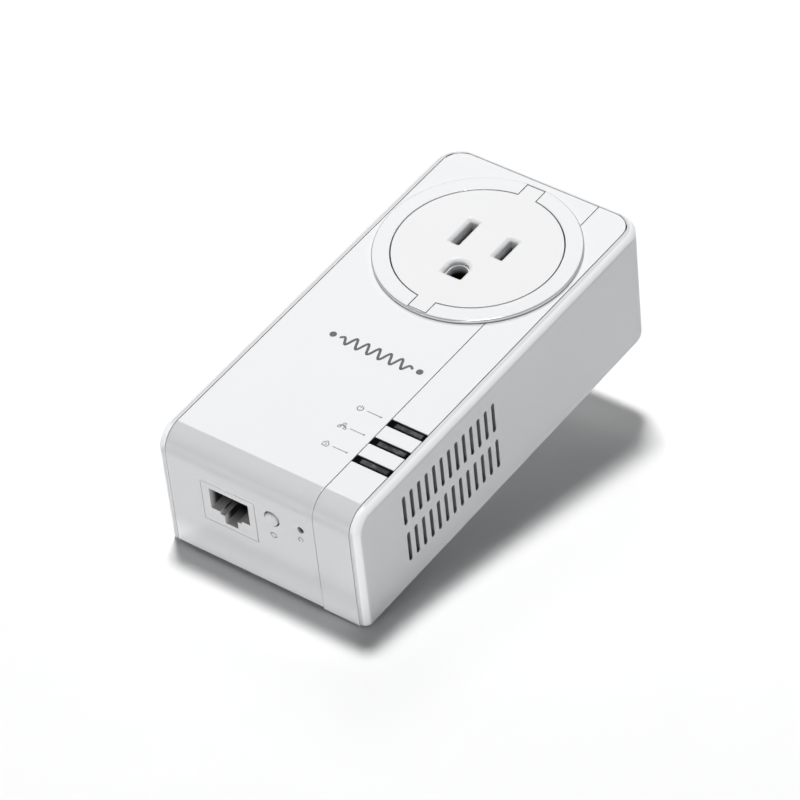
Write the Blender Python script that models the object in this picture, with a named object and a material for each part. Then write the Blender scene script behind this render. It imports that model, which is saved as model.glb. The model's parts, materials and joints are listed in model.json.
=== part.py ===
"""Powerline network adapter with a pass-through outlet, built as separate pieces.

The adapter lies face up: +Z points out of its front face, +Y towards the outlet end and -Y out of
the port end. The origin is the centre of the wall-side face, and the plug pins point along -Z.
Every length below is in millimetres; `finish` turns the shapes into metres.
"""

import math

import bmesh
import bpy
from mathutils import Vector

MM = 0.001
GAP = 0.3

# Body
BODY_WIDTH = 61.0
BODY_LENGTH = 125.4
FRONT_Z = 36.8
BEND_RADIUS = 6.5
EDGE_RADIUS = 2.2
BACK_EDGE_RADIUS = 1.2
FAR_CORNER_RADIUS = 8.0
SHEET = 2.0

HALF_WIDTH = BODY_WIDTH / 2
HALF_LENGTH = BODY_LENGTH / 2
PORT_Y = -HALF_LENGTH
BEND_Y = PORT_Y + BEND_RADIUS
BEND_Z = FRONT_Z - BEND_RADIUS

# Seam between the tub and the front cover
SEAM_X = 28.0
SEAM_FAR_Y = 60.8
SEAM_CORNER_RADIUS = 5.8
TUB_OPENING_X = SEAM_X + GAP / 2
COVER_X = SEAM_X - GAP / 2
COVER_FAR_Y = SEAM_FAR_Y - GAP / 2
COVER_CORNER_RADIUS = SEAM_CORNER_RADIUS - GAP / 2
COVER_FOOT_Z = 0.6

# Narrow cover with the light bars, lying on a thinner stretch of the front cover
STRIP_SEAM_X = 17.0
STRIP_SHEET = 1.3
STRIP_BASE_SHEET = 1.4
LIGHT_Y = {"power": -30.35, "ethernet": -37.45, "powerline": -44.55}
LIGHT_X = 22.5
WINDOW_WIDTH = 2.25
WINDOW_SHEET = 0.5
WINDOW_GROOVE = 0.8
GUIDE_LENGTH = 5.4
GUIDE_WIDTH = 1.4
LED_LENGTH = 3.2
LED_WIDTH = 1.8
LED_HEIGHT = 1.0

# Outlet, to the spacing of a grounded 15 A one
OUTLET_Y = 31.3
OUTLET_Z = FRONT_Z + 1.0
DISC_RADIUS = 21.9
DISC_SHEET = 2.0
RING_RADIUS = 26.9
RING_BORE_RADIUS = DISC_RADIUS + GAP
RING_FLANGE_Z = FRONT_Z + 0.15
RING_SLEEVE_RADIUS = 24.7
RING_SLEEVE_Z = FRONT_Z - 3.0
TAB_REACH = 26.1
TAB_HALF_WIDTH = 2.6
TAB_SHEET = 0.7
BLADE_X = 6.35
BLADE_Y = 34.7
GROUND_Y = 22.8
SLOT_WIDTH = 2.4
LIVE_SLOT_LENGTH = 7.3
NEUTRAL_SLOT_LENGTH = 8.9
GROUND_SLOT_HALF_WIDTH = 2.7
GROUND_SLOT_FLAT_Y = 19.9
GROUND_SLOT_TOP_Y = 25.6
FLARE = 0.8
COLLAR_Z = FRONT_Z - 3.6
COLLAR_WALL = 0.7
GROUND_COLLAR_RADIUS = 4.4
CARRIER_LOW = (-11.5, 16.2, 12.5)
CARRIER_HIGH = (11.5, 41.5, FRONT_Z - 2.3)
POCKET_Z = 14.5
CONTACT_TOP = FRONT_Z - 4.2
CONTACT_FOOT = 14.8
CONTACT_LEAF = 0.5
CONTACT_TAIL_Z = 10.4

# Plug
BLADE_THICKNESS = 1.5
LIVE_WIDTH = 6.35
NEUTRAL_WIDTH = 7.9
BLADE_LENGTH = 17.5
BLADE_BEVEL = 1.4
BLADE_HOLE_Z = -11.7
BLADE_HOLE_RADIUS = 1.75
GROUND_RADIUS = 2.4
GROUND_LENGTH = 21.0
PLUG_FACE_LOW = (-13.0, 17.0)
PLUG_FACE_HIGH = (13.0, 42.0)
PLUG_FACE_CORNER = 3.0
PLUG_FLANGE = 1.5
PLUG_BASE_TOP = 9.0
PIN_TOP = 10.1

# Vents
VENT_COUNT = 13
VENT_PITCH = 3.12
VENT_WIDTH = 1.38
VENT_ROWS = ((FRONT_Z - 29.0, FRONT_Z - 19.5, -43.65), (FRONT_Z - 16.4, FRONT_Z - 6.9, -44.03))

# Data jack
JACK_LOW = (-17.6, PORT_Y, FRONT_Z - 23.1)
JACK_HIGH = (-1.35, PORT_Y + 21.0, FRONT_Z - 10.1)
JACK_CENTRE_X = -9.25
CAVITY_DEPTH = 13.0
CAVITY_TOP = FRONT_Z - 11.7
CAVITY_STEPS = ((5.95, FRONT_Z - 18.4), (3.25, FRONT_Z - 19.3), (1.95, FRONT_Z - 21.7))
CONTACT_PITCH = 1.02
CONTACT_WIRE = 0.45
CONTACT_DROP = 1.4

# Buttons
SYNC_X, SYNC_Z = 4.07, FRONT_Z - 12.23
SYNC_HOLE_RADIUS = 2.3
SYNC_CAP_RADIUS = 2.0
SYNC_PROUD = 0.6
SYNC_FLANGE_RADIUS = 2.8
SYNC_FLANGE = 0.7
SYNC_STEM_RADIUS = 1.2
SYNC_STEM_END_Y = -59.2
RESET_X, RESET_Z = 12.83, FRONT_Z - 11.44
RESET_HOLE_RADIUS = 0.95
PLUNGER_TIP_Y = SYNC_STEM_END_Y + GAP
PLUNGER_END_Y = -55.6
SWITCH_NEAR_Y = -57.2
SWITCH_BORE_END_Y = -55.0
SWITCH_FAR_Y = -53.4
SWITCH_WALL = 1.1

# Boards
BOARD_SHEET = 1.6
MAIN_BOARD_Z = FRONT_Z - 9.7
MAINS_BOARD_Z = 5.0
BOARD_HALF_WIDTH = 25.9
BOARD_NEAR_Y = -58.9
MAIN_BOARD_FAR_Y = 3.0
MAINS_BOARD_FAR_Y = 9.5
BOARD_NOTCH_X = 20.2
BOARD_NOTCH_Y = -51.2
OVER_MAIN = MAIN_BOARD_Z + BOARD_SHEET + GAP
UNDER_MAIN = MAIN_BOARD_Z - GAP
OVER_MAINS = MAINS_BOARD_Z + BOARD_SHEET + GAP
RAIL_X = 21.5
RAIL_HALF_WIDTH = 0.8
RAIL_Y = (-48.0, 6.0)

# Case screws
SCREW_PLACES = ((-24.0, -55.0), (24.0, -55.0), (-22.5, 54.5), (22.5, 54.5))
BOSS_RADIUS = 3.5
BOSS_TOP = 8.0
POST_RADIUS = 3.0
POST_TOP = FRONT_Z - 1.8
COUNTERBORE_RADIUS = 2.8
COUNTERBORE_TOP = 5.5
SCREW_HOLE_RADIUS = 1.6
SCREW_RADIUS = 1.3
SCREW_HEAD_RADIUS = 2.5
SCREW_HEAD_BOTTOM = 3.2
SCREW_TIP = 14.5
PILOT_TOP = 16.0

# Rating label
LABEL_LOW = (-18.0, -48.0)
LABEL_HIGH = (18.0, -12.0)
LABEL_RECESS = 0.5
LABEL_Z = (0.05, 0.25)

AXES = {"x": 0, "y": 1, "z": 2}

# Colour, roughness and metallic value of each material
PALETTE = {
    "white_plastic": ((0.86, 0.87, 0.88), 0.35, 0.0),
    "panel_plastic": ((0.92, 0.92, 0.93), 0.25, 0.0),
    "outlet_plastic": ((0.85, 0.85, 0.86), 0.4, 0.0),
    "port_plastic": ((0.78, 0.78, 0.79), 0.45, 0.0),
    "window_plastic": ((0.012, 0.012, 0.014), 0.12, 0.0),
    "clear_plastic": ((0.85, 0.9, 0.92), 0.1, 0.0),
    "led_resin": ((0.9, 0.85, 0.5), 0.3, 0.0),
    "black_plastic": ((0.02, 0.02, 0.02), 0.5, 0.0),
    "grey_plastic": ((0.35, 0.36, 0.38), 0.5, 0.0),
    "board_green": ((0.02, 0.14, 0.06), 0.45, 0.0),
    "ferrite": ((0.05, 0.05, 0.055), 0.7, 0.0),
    "winding_tape": ((0.75, 0.55, 0.08), 0.5, 0.0),
    "capacitor_sleeve": ((0.03, 0.08, 0.25), 0.4, 0.0),
    "fuse_glass": ((0.75, 0.78, 0.78), 0.15, 0.0),
    "nickel": ((0.72, 0.69, 0.63), 0.25, 1.0),
    "brass": ((0.78, 0.6, 0.3), 0.3, 1.0),
    "gold_contacts": ((0.85, 0.62, 0.2), 0.25, 1.0),
    "screw_steel": ((0.45, 0.45, 0.47), 0.35, 1.0),
    "aluminium": ((0.75, 0.76, 0.78), 0.4, 1.0),
    "live_wire": ((0.18, 0.07, 0.03), 0.5, 0.0),
    "neutral_wire": ((0.8, 0.8, 0.78), 0.5, 0.0),
    "ground_wire": ((0.05, 0.3, 0.08), 0.5, 0.0),
    "label_paper": ((0.8, 0.81, 0.82), 0.6, 0.0),
}


# ---------------------------------------------------------------- outlines

def arc(centre, radius, start, end, steps):
    """Points of an arc, angles in degrees, counter-clockwise when end is larger."""
    points = []
    for i in range(steps + 1):
        angle = math.radians(start + (end - start) * i / steps)
        points.append((centre[0] + radius * math.cos(angle), centre[1] + radius * math.sin(angle)))
    return points


def circle(centre, radius, steps=24):
    return arc(centre, radius, 0, 360, steps)[:-1]


def rectangle(low, high):
    return [low, (high[0], low[1]), high, (low[0], high[1])]


def centred_rectangle(centre, half_x, half_y):
    low = (centre[0] - half_x, centre[1] - half_y)
    high = (centre[0] + half_x, centre[1] + half_y)
    return rectangle(low, high)


def rounded_rectangle(low, high, radius, steps=3):
    (x0, y0), (x1, y1) = low, high
    return (
        arc((x1 - radius, y0 + radius), radius, -90, 0, steps)
        + arc((x1 - radius, y1 - radius), radius, 0, 90, steps)
        + arc((x0 + radius, y1 - radius), radius, 90, 180, steps)
        + arc((x0 + radius, y0 + radius), radius, 180, 270, steps)
    )


def grown(low, high, margin):
    """A rectangle's corners, moved outwards."""
    return (low[0] - margin, low[1] - margin), (high[0] + margin, high[1] + margin)


def far_rounded_outline(half_width, far_y, radius, steps=6):
    """A long rectangle with rounded corners at its +Y end, running on past the port end."""
    near_y = PORT_Y - 5
    return (
        [(-half_width, near_y), (half_width, near_y)]
        + arc((half_width - radius, far_y - radius), radius, 0, 90, steps)
        + arc((radius - half_width, far_y - radius), radius, 90, 180, steps)
    )


def bent_sheet_outline(foot_z, inset, thickness, steps=6):
    """Section, in Y and Z, of a sheet that runs along the front and bends down over the port end."""
    outer = BEND_RADIUS - inset
    inner = outer - thickness
    centre = (BEND_Y, BEND_Z)
    return (
        [(BEND_Y - outer, foot_z), (BEND_Y - inner, foot_z)]
        + arc(centre, inner, 180, 90, steps)
        + [(HALF_LENGTH, BEND_Z + inner), (HALF_LENGTH, BEND_Z + outer)]
        + arc(centre, outer, 90, 180, steps)
    )


def ground_outline(extra, steps=10):
    """The outlet's ground opening, with a flat side and a round one, grown by extra."""
    half_width = GROUND_SLOT_HALF_WIDTH + extra
    flat_y = GROUND_SLOT_FLAT_Y - extra
    centre = (0.0, GROUND_SLOT_TOP_Y - GROUND_SLOT_HALF_WIDTH)
    return [(-half_width, flat_y), (half_width, flat_y)] + arc(centre, half_width, 0, 180, steps)


def plug_face_outline(margin):
    low, high = grown(PLUG_FACE_LOW, PLUG_FACE_HIGH, margin)
    return rounded_rectangle(low, high, PLUG_FACE_CORNER + margin)


# ---------------------------------------------------------------- solids

def to_space(point, axis, height):
    """Places an outline's point. The outline is in the other two axes, in X, Y, Z order."""
    spot = list(point)
    spot.insert(AXES[axis], height)
    return Vector(spot)


def skin(rings):
    """A closed solid through rings that have the same number of points."""
    shape = bmesh.new()
    rows = [[shape.verts.new(point) for point in ring] for ring in rings]
    count = len(rows[0])
    for lower, upper in zip(rows, rows[1:]):
        for i in range(count):
            j = (i + 1) % count
            shape.faces.new((lower[i], lower[j], upper[j], upper[i]))
    shape.faces.new(list(reversed(rows[0])))
    shape.faces.new(rows[-1])
    bmesh.ops.recalc_face_normals(shape, faces=shape.faces)
    return shape


def prism(outline, axis, low, high):
    return skin([[to_space(point, axis, height) for point in outline] for height in (low, high)])


def box(low, high):
    return prism(rectangle(low[:2], high[:2]), "z", low[2], high[2])


def cylinder(centre, radius, axis, low, high, steps=24):
    return prism(circle(centre, radius, steps), axis, low, high)


def turned(profile, centre, axis, steps=24):
    """A solid of revolution. The profile lists (radius, height) and ends on the axis at both ends."""
    shape = bmesh.new()
    rows = []
    for radius, height in profile:
        if radius == 0:
            rows.append([shape.verts.new(to_space(centre, axis, height))])
        else:
            ring = circle(centre, radius, steps)
            rows.append([shape.verts.new(to_space(point, axis, height)) for point in ring])
    for lower, upper in zip(rows, rows[1:]):
        for i in range(steps):
            j = (i + 1) % steps
            corners = [lower[i % len(lower)], lower[j % len(lower)]]
            corners += [upper[j % len(upper)], upper[i % len(upper)]]
            shape.faces.new(list(dict.fromkeys(corners)))
    bmesh.ops.recalc_face_normals(shape, faces=shape.faces)
    return shape


def turned_ring(profile, centre, axis, steps=24):
    """A ring of revolution. The profile is a closed outline of (radius, height)."""
    shape = bmesh.new()
    rows = []
    for radius, height in profile:
        ring = circle(centre, radius, steps)
        rows.append([shape.verts.new(to_space(point, axis, height)) for point in ring])
    for lower, upper in zip(rows, rows[1:] + rows[:1]):
        for i in range(steps):
            j = (i + 1) % steps
            shape.faces.new((lower[i], lower[j], upper[j], upper[i]))
    bmesh.ops.recalc_face_normals(shape, faces=shape.faces)
    return shape


def tube(path, radius, steps=8):
    """A round wire along a path of points."""
    points = [Vector(point) for point in path]
    legs = [(b - a).normalized() for a, b in zip(points, points[1:])]
    side = legs[0].orthogonal().normalized()
    rings = []
    for i, point in enumerate(points):
        before = legs[max(i - 1, 0)]
        after = legs[min(i, len(legs) - 1)]
        along = (before + after).normalized()
        side = (side - along * side.dot(along)).normalized()
        other = along.cross(side)
        ring = []
        for k in range(steps):
            angle = 2 * math.pi * k / steps
            ring.append(point + (side * math.cos(angle) + other * math.sin(angle)) * radius)
        rings.append(ring)
    return skin(rings)


def body_rings():
    """Level outlines of the whole outer body, rounded along every edge of its sides."""
    core_x = HALF_WIDTH - EDGE_RADIUS
    bend_core = BEND_RADIUS - EDGE_RADIUS
    rim_z = FRONT_Z - EDGE_RADIUS
    far_centre = (HALF_WIDTH - FAR_CORNER_RADIUS, HALF_LENGTH - FAR_CORNER_RADIUS)
    levels = []
    for degrees in (0, 30, 60, 90):
        angle = math.radians(degrees)
        levels.append((BACK_EDGE_RADIUS * (1 - math.cos(angle)), BACK_EDGE_RADIUS * (1 - math.sin(angle))))
    levels.append((BEND_Z, 0.0))
    levels += [(BEND_Z + bend_core * math.sin(math.radians(degrees)), 0.0) for degrees in (30, 60, 90)]
    levels += [(rim_z + EDGE_RADIUS * math.sin(math.radians(degrees)), 0.0) for degrees in (30, 60, 90)]
    rings = []
    for z, inset in levels:
        rise = max(z - rim_z, 0.0)
        drop = max(z - BEND_Z, 0.0)
        edge = EDGE_RADIUS - inset
        reach = math.sqrt(max(EDGE_RADIUS ** 2 - rise ** 2, 0.0)) - inset
        widest = math.acos(min(rise / EDGE_RADIUS, 1.0))
        right = []
        for i in range(5):
            turn = widest * i / 4
            radius = bend_core + edge * math.cos(turn)
            near_y = BEND_Y - math.sqrt(max(radius ** 2 - drop ** 2, 0.0))
            right.append((core_x + edge * math.sin(turn), near_y))
        right += arc(far_centre, FAR_CORNER_RADIUS - EDGE_RADIUS + reach, 0, 90, 6)
        left = [(-x, y) for x, y in reversed(right)]
        rings.append([Vector((x, y, z)) for x, y in right + left])
    return rings


# ---------------------------------------------------------------- objects

def material(slot):
    """The palette's material of that name, made once."""
    if slot in bpy.data.materials:
        return bpy.data.materials[slot]
    colour, roughness, metallic = PALETTE[slot]
    made = bpy.data.materials.new(slot)
    made.use_nodes = True
    shader = made.node_tree.nodes["Principled BSDF"]
    shader.inputs["Base Color"].default_value = (*colour, 1.0)
    shader.inputs["Roughness"].default_value = roughness
    shader.inputs["Metallic"].default_value = metallic
    made.diffuse_color = (*colour, 1.0)
    return made


def finish(name, shape, slot, origin=(0.0, 0.0, 0.0)):
    """Turns a shape in millimetres into a named object in metres, with its origin where asked."""
    bmesh.ops.translate(shape, verts=shape.verts, vec=-Vector(origin))
    bmesh.ops.scale(shape, verts=shape.verts, vec=(MM, MM, MM))
    mesh = bpy.data.meshes.new(name)
    shape.to_mesh(mesh)
    shape.free()
    mesh.materials.append(material(slot))
    mesh.shade_smooth()
    mesh.set_sharp_from_angle(angle=math.radians(35))
    made = bpy.data.objects.new(name, mesh)
    made.location = Vector(origin) * MM
    bpy.context.collection.objects.link(made)


def merged(shapes):
    """Several shapes as one, without joining their walls."""
    total = bmesh.new()
    for shape in shapes:
        mesh = bpy.data.meshes.new("merging")
        shape.to_mesh(mesh)
        shape.free()
        total.from_mesh(mesh)
        bpy.data.meshes.remove(mesh)
    return total


def combined(first, second, operation):
    """The exact Boolean of two shapes."""
    operands = []
    for shape in (first, second):
        mesh = bpy.data.meshes.new("operand")
        shape.to_mesh(mesh)
        shape.free()
        operand = bpy.data.objects.new("operand", mesh)
        bpy.context.collection.objects.link(operand)
        operands.append(operand)
    modifier = operands[0].modifiers.new("Boolean", "BOOLEAN")
    modifier.operation = operation
    modifier.solver = "EXACT"
    modifier.object = operands[1]
    bpy.context.view_layer.update()
    evaluated = operands[0].evaluated_get(bpy.context.evaluated_depsgraph_get())
    result = bmesh.new()
    result.from_mesh(evaluated.to_mesh())
    evaluated.to_mesh_clear()
    for operand in operands:
        mesh = operand.data
        bpy.data.objects.remove(operand)
        bpy.data.meshes.remove(mesh)
    return result


def cut(shape, *tools):
    """The shape less its tools, which must not overlap one another."""
    return combined(shape, merged(tools), "DIFFERENCE")


def joined(shape, *others):
    for other in others:
        shape = combined(shape, other, "UNION")
    return shape


# ---------------------------------------------------------------- case

def vent_cutters():
    cutters = []
    radius = VENT_WIDTH / 2
    reach = HALF_WIDTH + 1
    for low, high, first_y in VENT_ROWS:
        for i in range(VENT_COUNT):
            y = first_y + i * VENT_PITCH
            outline = arc((y, high - radius), radius, 0, 180, 2)
            outline += arc((y, low + radius), radius, 180, 360, 2)
            cutters.append(prism(outline, "x", -reach, reach))
    return cutters


def screw_cylinders(radius, low, high, steps=16):
    return [cylinder(place, radius, "z", low, high, steps) for place in SCREW_PLACES]


def make_rear_housing():
    shape = skin(body_rings())
    opening = far_rounded_outline(TUB_OPENING_X, SEAM_FAR_Y + GAP / 2, SEAM_CORNER_RADIUS + GAP / 2)
    shape = cut(shape, prism(opening, "z", SHEET, FRONT_Z + 5))
    under_cover = box((-TUB_OPENING_X, PORT_Y - 5, -1), (TUB_OPENING_X, PORT_Y + SHEET + GAP, SHEET + 1))
    shape = cut(shape, under_cover)
    shape = cut(shape, *vent_cutters())
    bosses = screw_cylinders(BOSS_RADIUS, SHEET / 2, BOSS_TOP, 20)
    rail_top = MAINS_BOARD_Z - GAP
    rails = [box((x - RAIL_HALF_WIDTH, RAIL_Y[0], SHEET / 2), (x + RAIL_HALF_WIDTH, RAIL_Y[1], rail_top))
             for x in (-RAIL_X, RAIL_X)]
    shape = joined(shape, *bosses, *rails)
    shape = cut(shape, *screw_cylinders(COUNTERBORE_RADIUS, -1, COUNTERBORE_TOP))
    shape = cut(shape, *screw_cylinders(SCREW_HOLE_RADIUS, -1, BOSS_TOP + 1))
    plug_hole = prism(plug_face_outline(GAP), "z", -1, SHEET + 1)
    label_recess = prism(rounded_rectangle(*grown(LABEL_LOW, LABEL_HIGH, GAP), 1.5), "z", -1, LABEL_RECESS)
    finish("rear_housing", cut(shape, plug_hole, label_recess), "white_plastic")


def cover_limit(low_x, high_x):
    """The space inside the seam's rounded corners, between two X values."""
    outline = far_rounded_outline(COVER_X, COVER_FAR_Y, COVER_CORNER_RADIUS)
    limit = prism(outline, "z", -5, FRONT_Z + 5)
    window = box((low_x, PORT_Y - 10, -10), (high_x, HALF_LENGTH + 10, FRONT_Z + 10))
    return combined(limit, window, "INTERSECT")


def ring_hole():
    return cylinder((0.0, OUTLET_Y), RING_SLEEVE_RADIUS + GAP, "z", RING_SLEEVE_Z - 3, FRONT_Z + 2, 48)


def guide_holes(top):
    half_length = GUIDE_LENGTH / 2 + GAP
    half_width = GUIDE_WIDTH / 2 + GAP
    return [prism(centred_rectangle((LIGHT_X, y), half_length, half_width), "z", OVER_MAIN, top)
            for y in LIGHT_Y.values()]


def make_front_cover():
    strip_edge = STRIP_SEAM_X - GAP / 2
    seat = STRIP_SHEET + GAP
    sheet = prism(bent_sheet_outline(COVER_FOOT_Z, 0.0, SHEET), "x", -HALF_WIDTH, strip_edge)
    base = prism(bent_sheet_outline(SHEET + GAP, seat, STRIP_BASE_SHEET), "x", strip_edge - 2, HALF_WIDTH)
    shape = combined(joined(sheet, base), cover_limit(-COVER_X, COVER_X), "INTERSECT")
    shape = joined(shape, *screw_cylinders(POST_RADIUS, BOSS_TOP + GAP, POST_TOP))
    wall = (PORT_Y - 1, PORT_Y + SHEET + 1)
    jack_hole = box((JACK_LOW[0] - GAP / 2, wall[0], JACK_LOW[2] - GAP / 2),
                    (JACK_HIGH[0] + GAP / 2, wall[1], JACK_HIGH[2] + GAP / 2))
    sync_hole = cylinder((SYNC_X, SYNC_Z), SYNC_HOLE_RADIUS, "y", *wall)
    reset_hole = cylinder((RESET_X, RESET_Z), RESET_HOLE_RADIUS, "y", *wall, 16)
    pilots = screw_cylinders(SCREW_HOLE_RADIUS, BOSS_TOP - 1, PILOT_TOP, 12)
    shape = cut(shape, ring_hole(), jack_hole, sync_hole, reset_hole, *pilots, *guide_holes(FRONT_Z))
    finish("front_cover", shape, "panel_plastic")


def make_led_strip_cover():
    strip_edge = STRIP_SEAM_X + GAP / 2
    shape = prism(bent_sheet_outline(0.0, 0.0, STRIP_SHEET), "x", strip_edge, HALF_WIDTH)
    shape = combined(shape, cover_limit(strip_edge - 1, COVER_X), "INTERSECT")
    half = WINDOW_WIDTH / 2 + GAP / 2
    floor_z = FRONT_Z - WINDOW_GROOVE
    grooves = [box((STRIP_SEAM_X - 1, y - half, floor_z), (SEAM_X + 1, y + half, FRONT_Z + 1))
               for y in LIGHT_Y.values()]
    shape = cut(shape, ring_hole(), *grooves)
    finish("led_strip_cover", cut(shape, *guide_holes(floor_z + WINDOW_GROOVE / 2)), "panel_plastic")


def make_lights():
    window_z = FRONT_Z - WINDOW_SHEET
    for light, y in LIGHT_Y.items():
        low = (STRIP_SEAM_X + 0.1, y - WINDOW_WIDTH / 2)
        high = (COVER_X, y + WINDOW_WIDTH / 2)
        bar = prism(rounded_rectangle(low, high, 0.2, 2), "z", window_z, FRONT_Z)
        finish(light + "_window", bar, "window_plastic")
        led = prism(centred_rectangle((LIGHT_X, y), LED_LENGTH / 2, LED_WIDTH / 2), "z",
                    OVER_MAIN, OVER_MAIN + LED_HEIGHT)
        finish(light + "_led", led, "led_resin")
        guide = prism(centred_rectangle((LIGHT_X, y), GUIDE_LENGTH / 2, GUIDE_WIDTH / 2), "z",
                      OVER_MAIN + LED_HEIGHT + GAP, window_z - GAP)
        finish(light + "_light_guide", guide, "clear_plastic")


# ---------------------------------------------------------------- outlet

def make_outlet_ring():
    profile = [(RING_BORE_RADIUS, RING_SLEEVE_Z), (RING_SLEEVE_RADIUS, RING_SLEEVE_Z),
               (RING_SLEEVE_RADIUS, RING_FLANGE_Z), (RING_RADIUS, RING_FLANGE_Z),
               (RING_RADIUS, OUTLET_Z - 0.2), (RING_RADIUS - 0.2, OUTLET_Z), (RING_BORE_RADIUS, OUTLET_Z)]
    shape = turned_ring(profile, (0.0, OUTLET_Y), "z", 56)
    notches = []
    for side in (-1, 1):
        ends = sorted((OUTLET_Y + side * (DISC_RADIUS - 2), OUTLET_Y + side * (TAB_REACH + GAP)))
        notches.append(box((-TAB_HALF_WIDTH - GAP, ends[0], FRONT_Z),
                           (TAB_HALF_WIDTH + GAP, ends[1], OUTLET_Z + 1)))
    finish("outlet_ring", cut(shape, *notches), "panel_plastic")


def flared(outline):
    """A slot cutter that widens over its last millimetre. The outline is a function of its growth."""
    past_face = 0.25
    levels = ((COLLAR_Z - 1, 0.0), (OUTLET_Z - 1, 0.0), (OUTLET_Z + past_face, FLARE * (1 + past_face)))
    return skin([[Vector((x, y, z)) for x, y in outline(extra)] for z, extra in levels])


def slot_outline(x, length):
    return lambda extra: centred_rectangle((x, BLADE_Y), SLOT_WIDTH / 2 + extra, length / 2 + extra)


def make_socket_face():
    shape = cylinder((0.0, OUTLET_Y), DISC_RADIUS, "z", OUTLET_Z - DISC_SHEET, OUTLET_Z, 56)
    tabs = box((-TAB_HALF_WIDTH, OUTLET_Y - TAB_REACH, OUTLET_Z - TAB_SHEET),
               (TAB_HALF_WIDTH, OUTLET_Y + TAB_REACH, OUTLET_Z))
    slots = (slot_outline(-BLADE_X, NEUTRAL_SLOT_LENGTH), slot_outline(BLADE_X, LIVE_SLOT_LENGTH))
    collars = [prism(slot(COLLAR_WALL), "z", COLLAR_Z, OUTLET_Z - 1.5) for slot in slots]
    collars.append(cylinder((0.0, GROUND_Y), GROUND_COLLAR_RADIUS, "z", COLLAR_Z, OUTLET_Z - 1.5, 20))
    shape = joined(shape, tabs, *collars)
    openings = [flared(outline) for outline in (*slots, ground_outline)]
    finish("socket_face", cut(shape, *openings), "outlet_plastic")


def make_socket_carrier():
    top = OUTLET_Z - DISC_SHEET - GAP
    flange = cylinder((0.0, OUTLET_Y), DISC_RADIUS - 1, "z", top - 2, top, 32)
    shape = joined(flange, box(CARRIER_LOW, CARRIER_HIGH))
    pockets = [cylinder((0.0, GROUND_Y), GROUND_COLLAR_RADIUS + 0.2, "z", POCKET_Z, OUTLET_Z, 20)]
    tail_slots = [prism(centred_rectangle((0.0, GROUND_Y), 1.4, 0.9), "z", CONTACT_TAIL_Z, POCKET_Z + 0.5)]
    for x, half_length in ((-BLADE_X, 5.4), (BLADE_X, 4.6)):
        centre = (x, BLADE_Y)
        pockets.append(prism(centred_rectangle(centre, 2.9, half_length), "z", POCKET_Z, OUTLET_Z))
        tail_slots.append(prism(centred_rectangle(centre, 0.9, 2.0), "z", CONTACT_TAIL_Z, POCKET_Z + 0.5))
    finish("socket_carrier", cut(cut(shape, *pockets), *tail_slots), "port_plastic")


def make_contacts():
    """Two forked springs that pinch a blade near their top, and a sleeve for the ground pin."""
    wide, pinch, mouth = 2.4, 1.2, 2.2
    for name, x, width in (("contact_neutral", -BLADE_X, 8.4), ("contact_live", BLADE_X, 7.2)):
        outer = [(wide, CONTACT_FOOT), (wide, 24.0), (pinch, 28.0), (mouth, CONTACT_TOP)]
        inner = [(half - CONTACT_LEAF, z) for half, z in reversed(outer[1:])]
        inner.append((wide - CONTACT_LEAF, CONTACT_FOOT + CONTACT_LEAF))
        right = outer + inner
        outline = [(x + half, z) for half, z in right] + [(x - half, z) for half, z in reversed(right)]
        spring = prism(outline, "y", BLADE_Y - width / 2, BLADE_Y + width / 2)
        tail = prism(centred_rectangle((x, BLADE_Y), 0.4, 1.6), "z", CONTACT_TAIL_Z, CONTACT_FOOT + 0.25)
        finish(name, joined(spring, tail), "brass")
    centre = (0.0, GROUND_Y)
    wall = [(4.1, CONTACT_FOOT + 0.6), (4.1, CONTACT_TOP), (3.6, CONTACT_TOP), (3.6, CONTACT_FOOT + 0.6)]
    floor = cylinder(centre, 3.9, "z", CONTACT_FOOT, CONTACT_FOOT + 0.9, 16)
    tail = prism(centred_rectangle(centre, 1.1, 0.4), "z", CONTACT_TAIL_Z, CONTACT_FOOT + 0.4)
    finish("contact_ground", joined(turned_ring(wall, centre, "z", 16), floor, tail), "brass")


# ---------------------------------------------------------------- plug

def make_plug_base():
    shape = prism(plug_face_outline(0.0), "z", 0.0, PLUG_BASE_TOP)
    flange = prism(rectangle(*grown(PLUG_FACE_LOW, PLUG_FACE_HIGH, PLUG_FLANGE)), "z",
                   SHEET + GAP, SHEET + GAP + PLUG_FLANGE)
    holes = [prism(centred_rectangle((x, BLADE_Y), BLADE_THICKNESS / 2 + GAP, width / 2 + GAP), "z",
                   -1, PLUG_BASE_TOP + 1)
             for x, width in ((-BLADE_X, NEUTRAL_WIDTH), (BLADE_X, LIVE_WIDTH))]
    holes.append(cylinder((0.0, GROUND_Y), GROUND_RADIUS + GAP, "z", -1, PLUG_BASE_TOP + 1, 20))
    finish("plug_base", cut(joined(shape, flange), *holes), "outlet_plastic")


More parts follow.
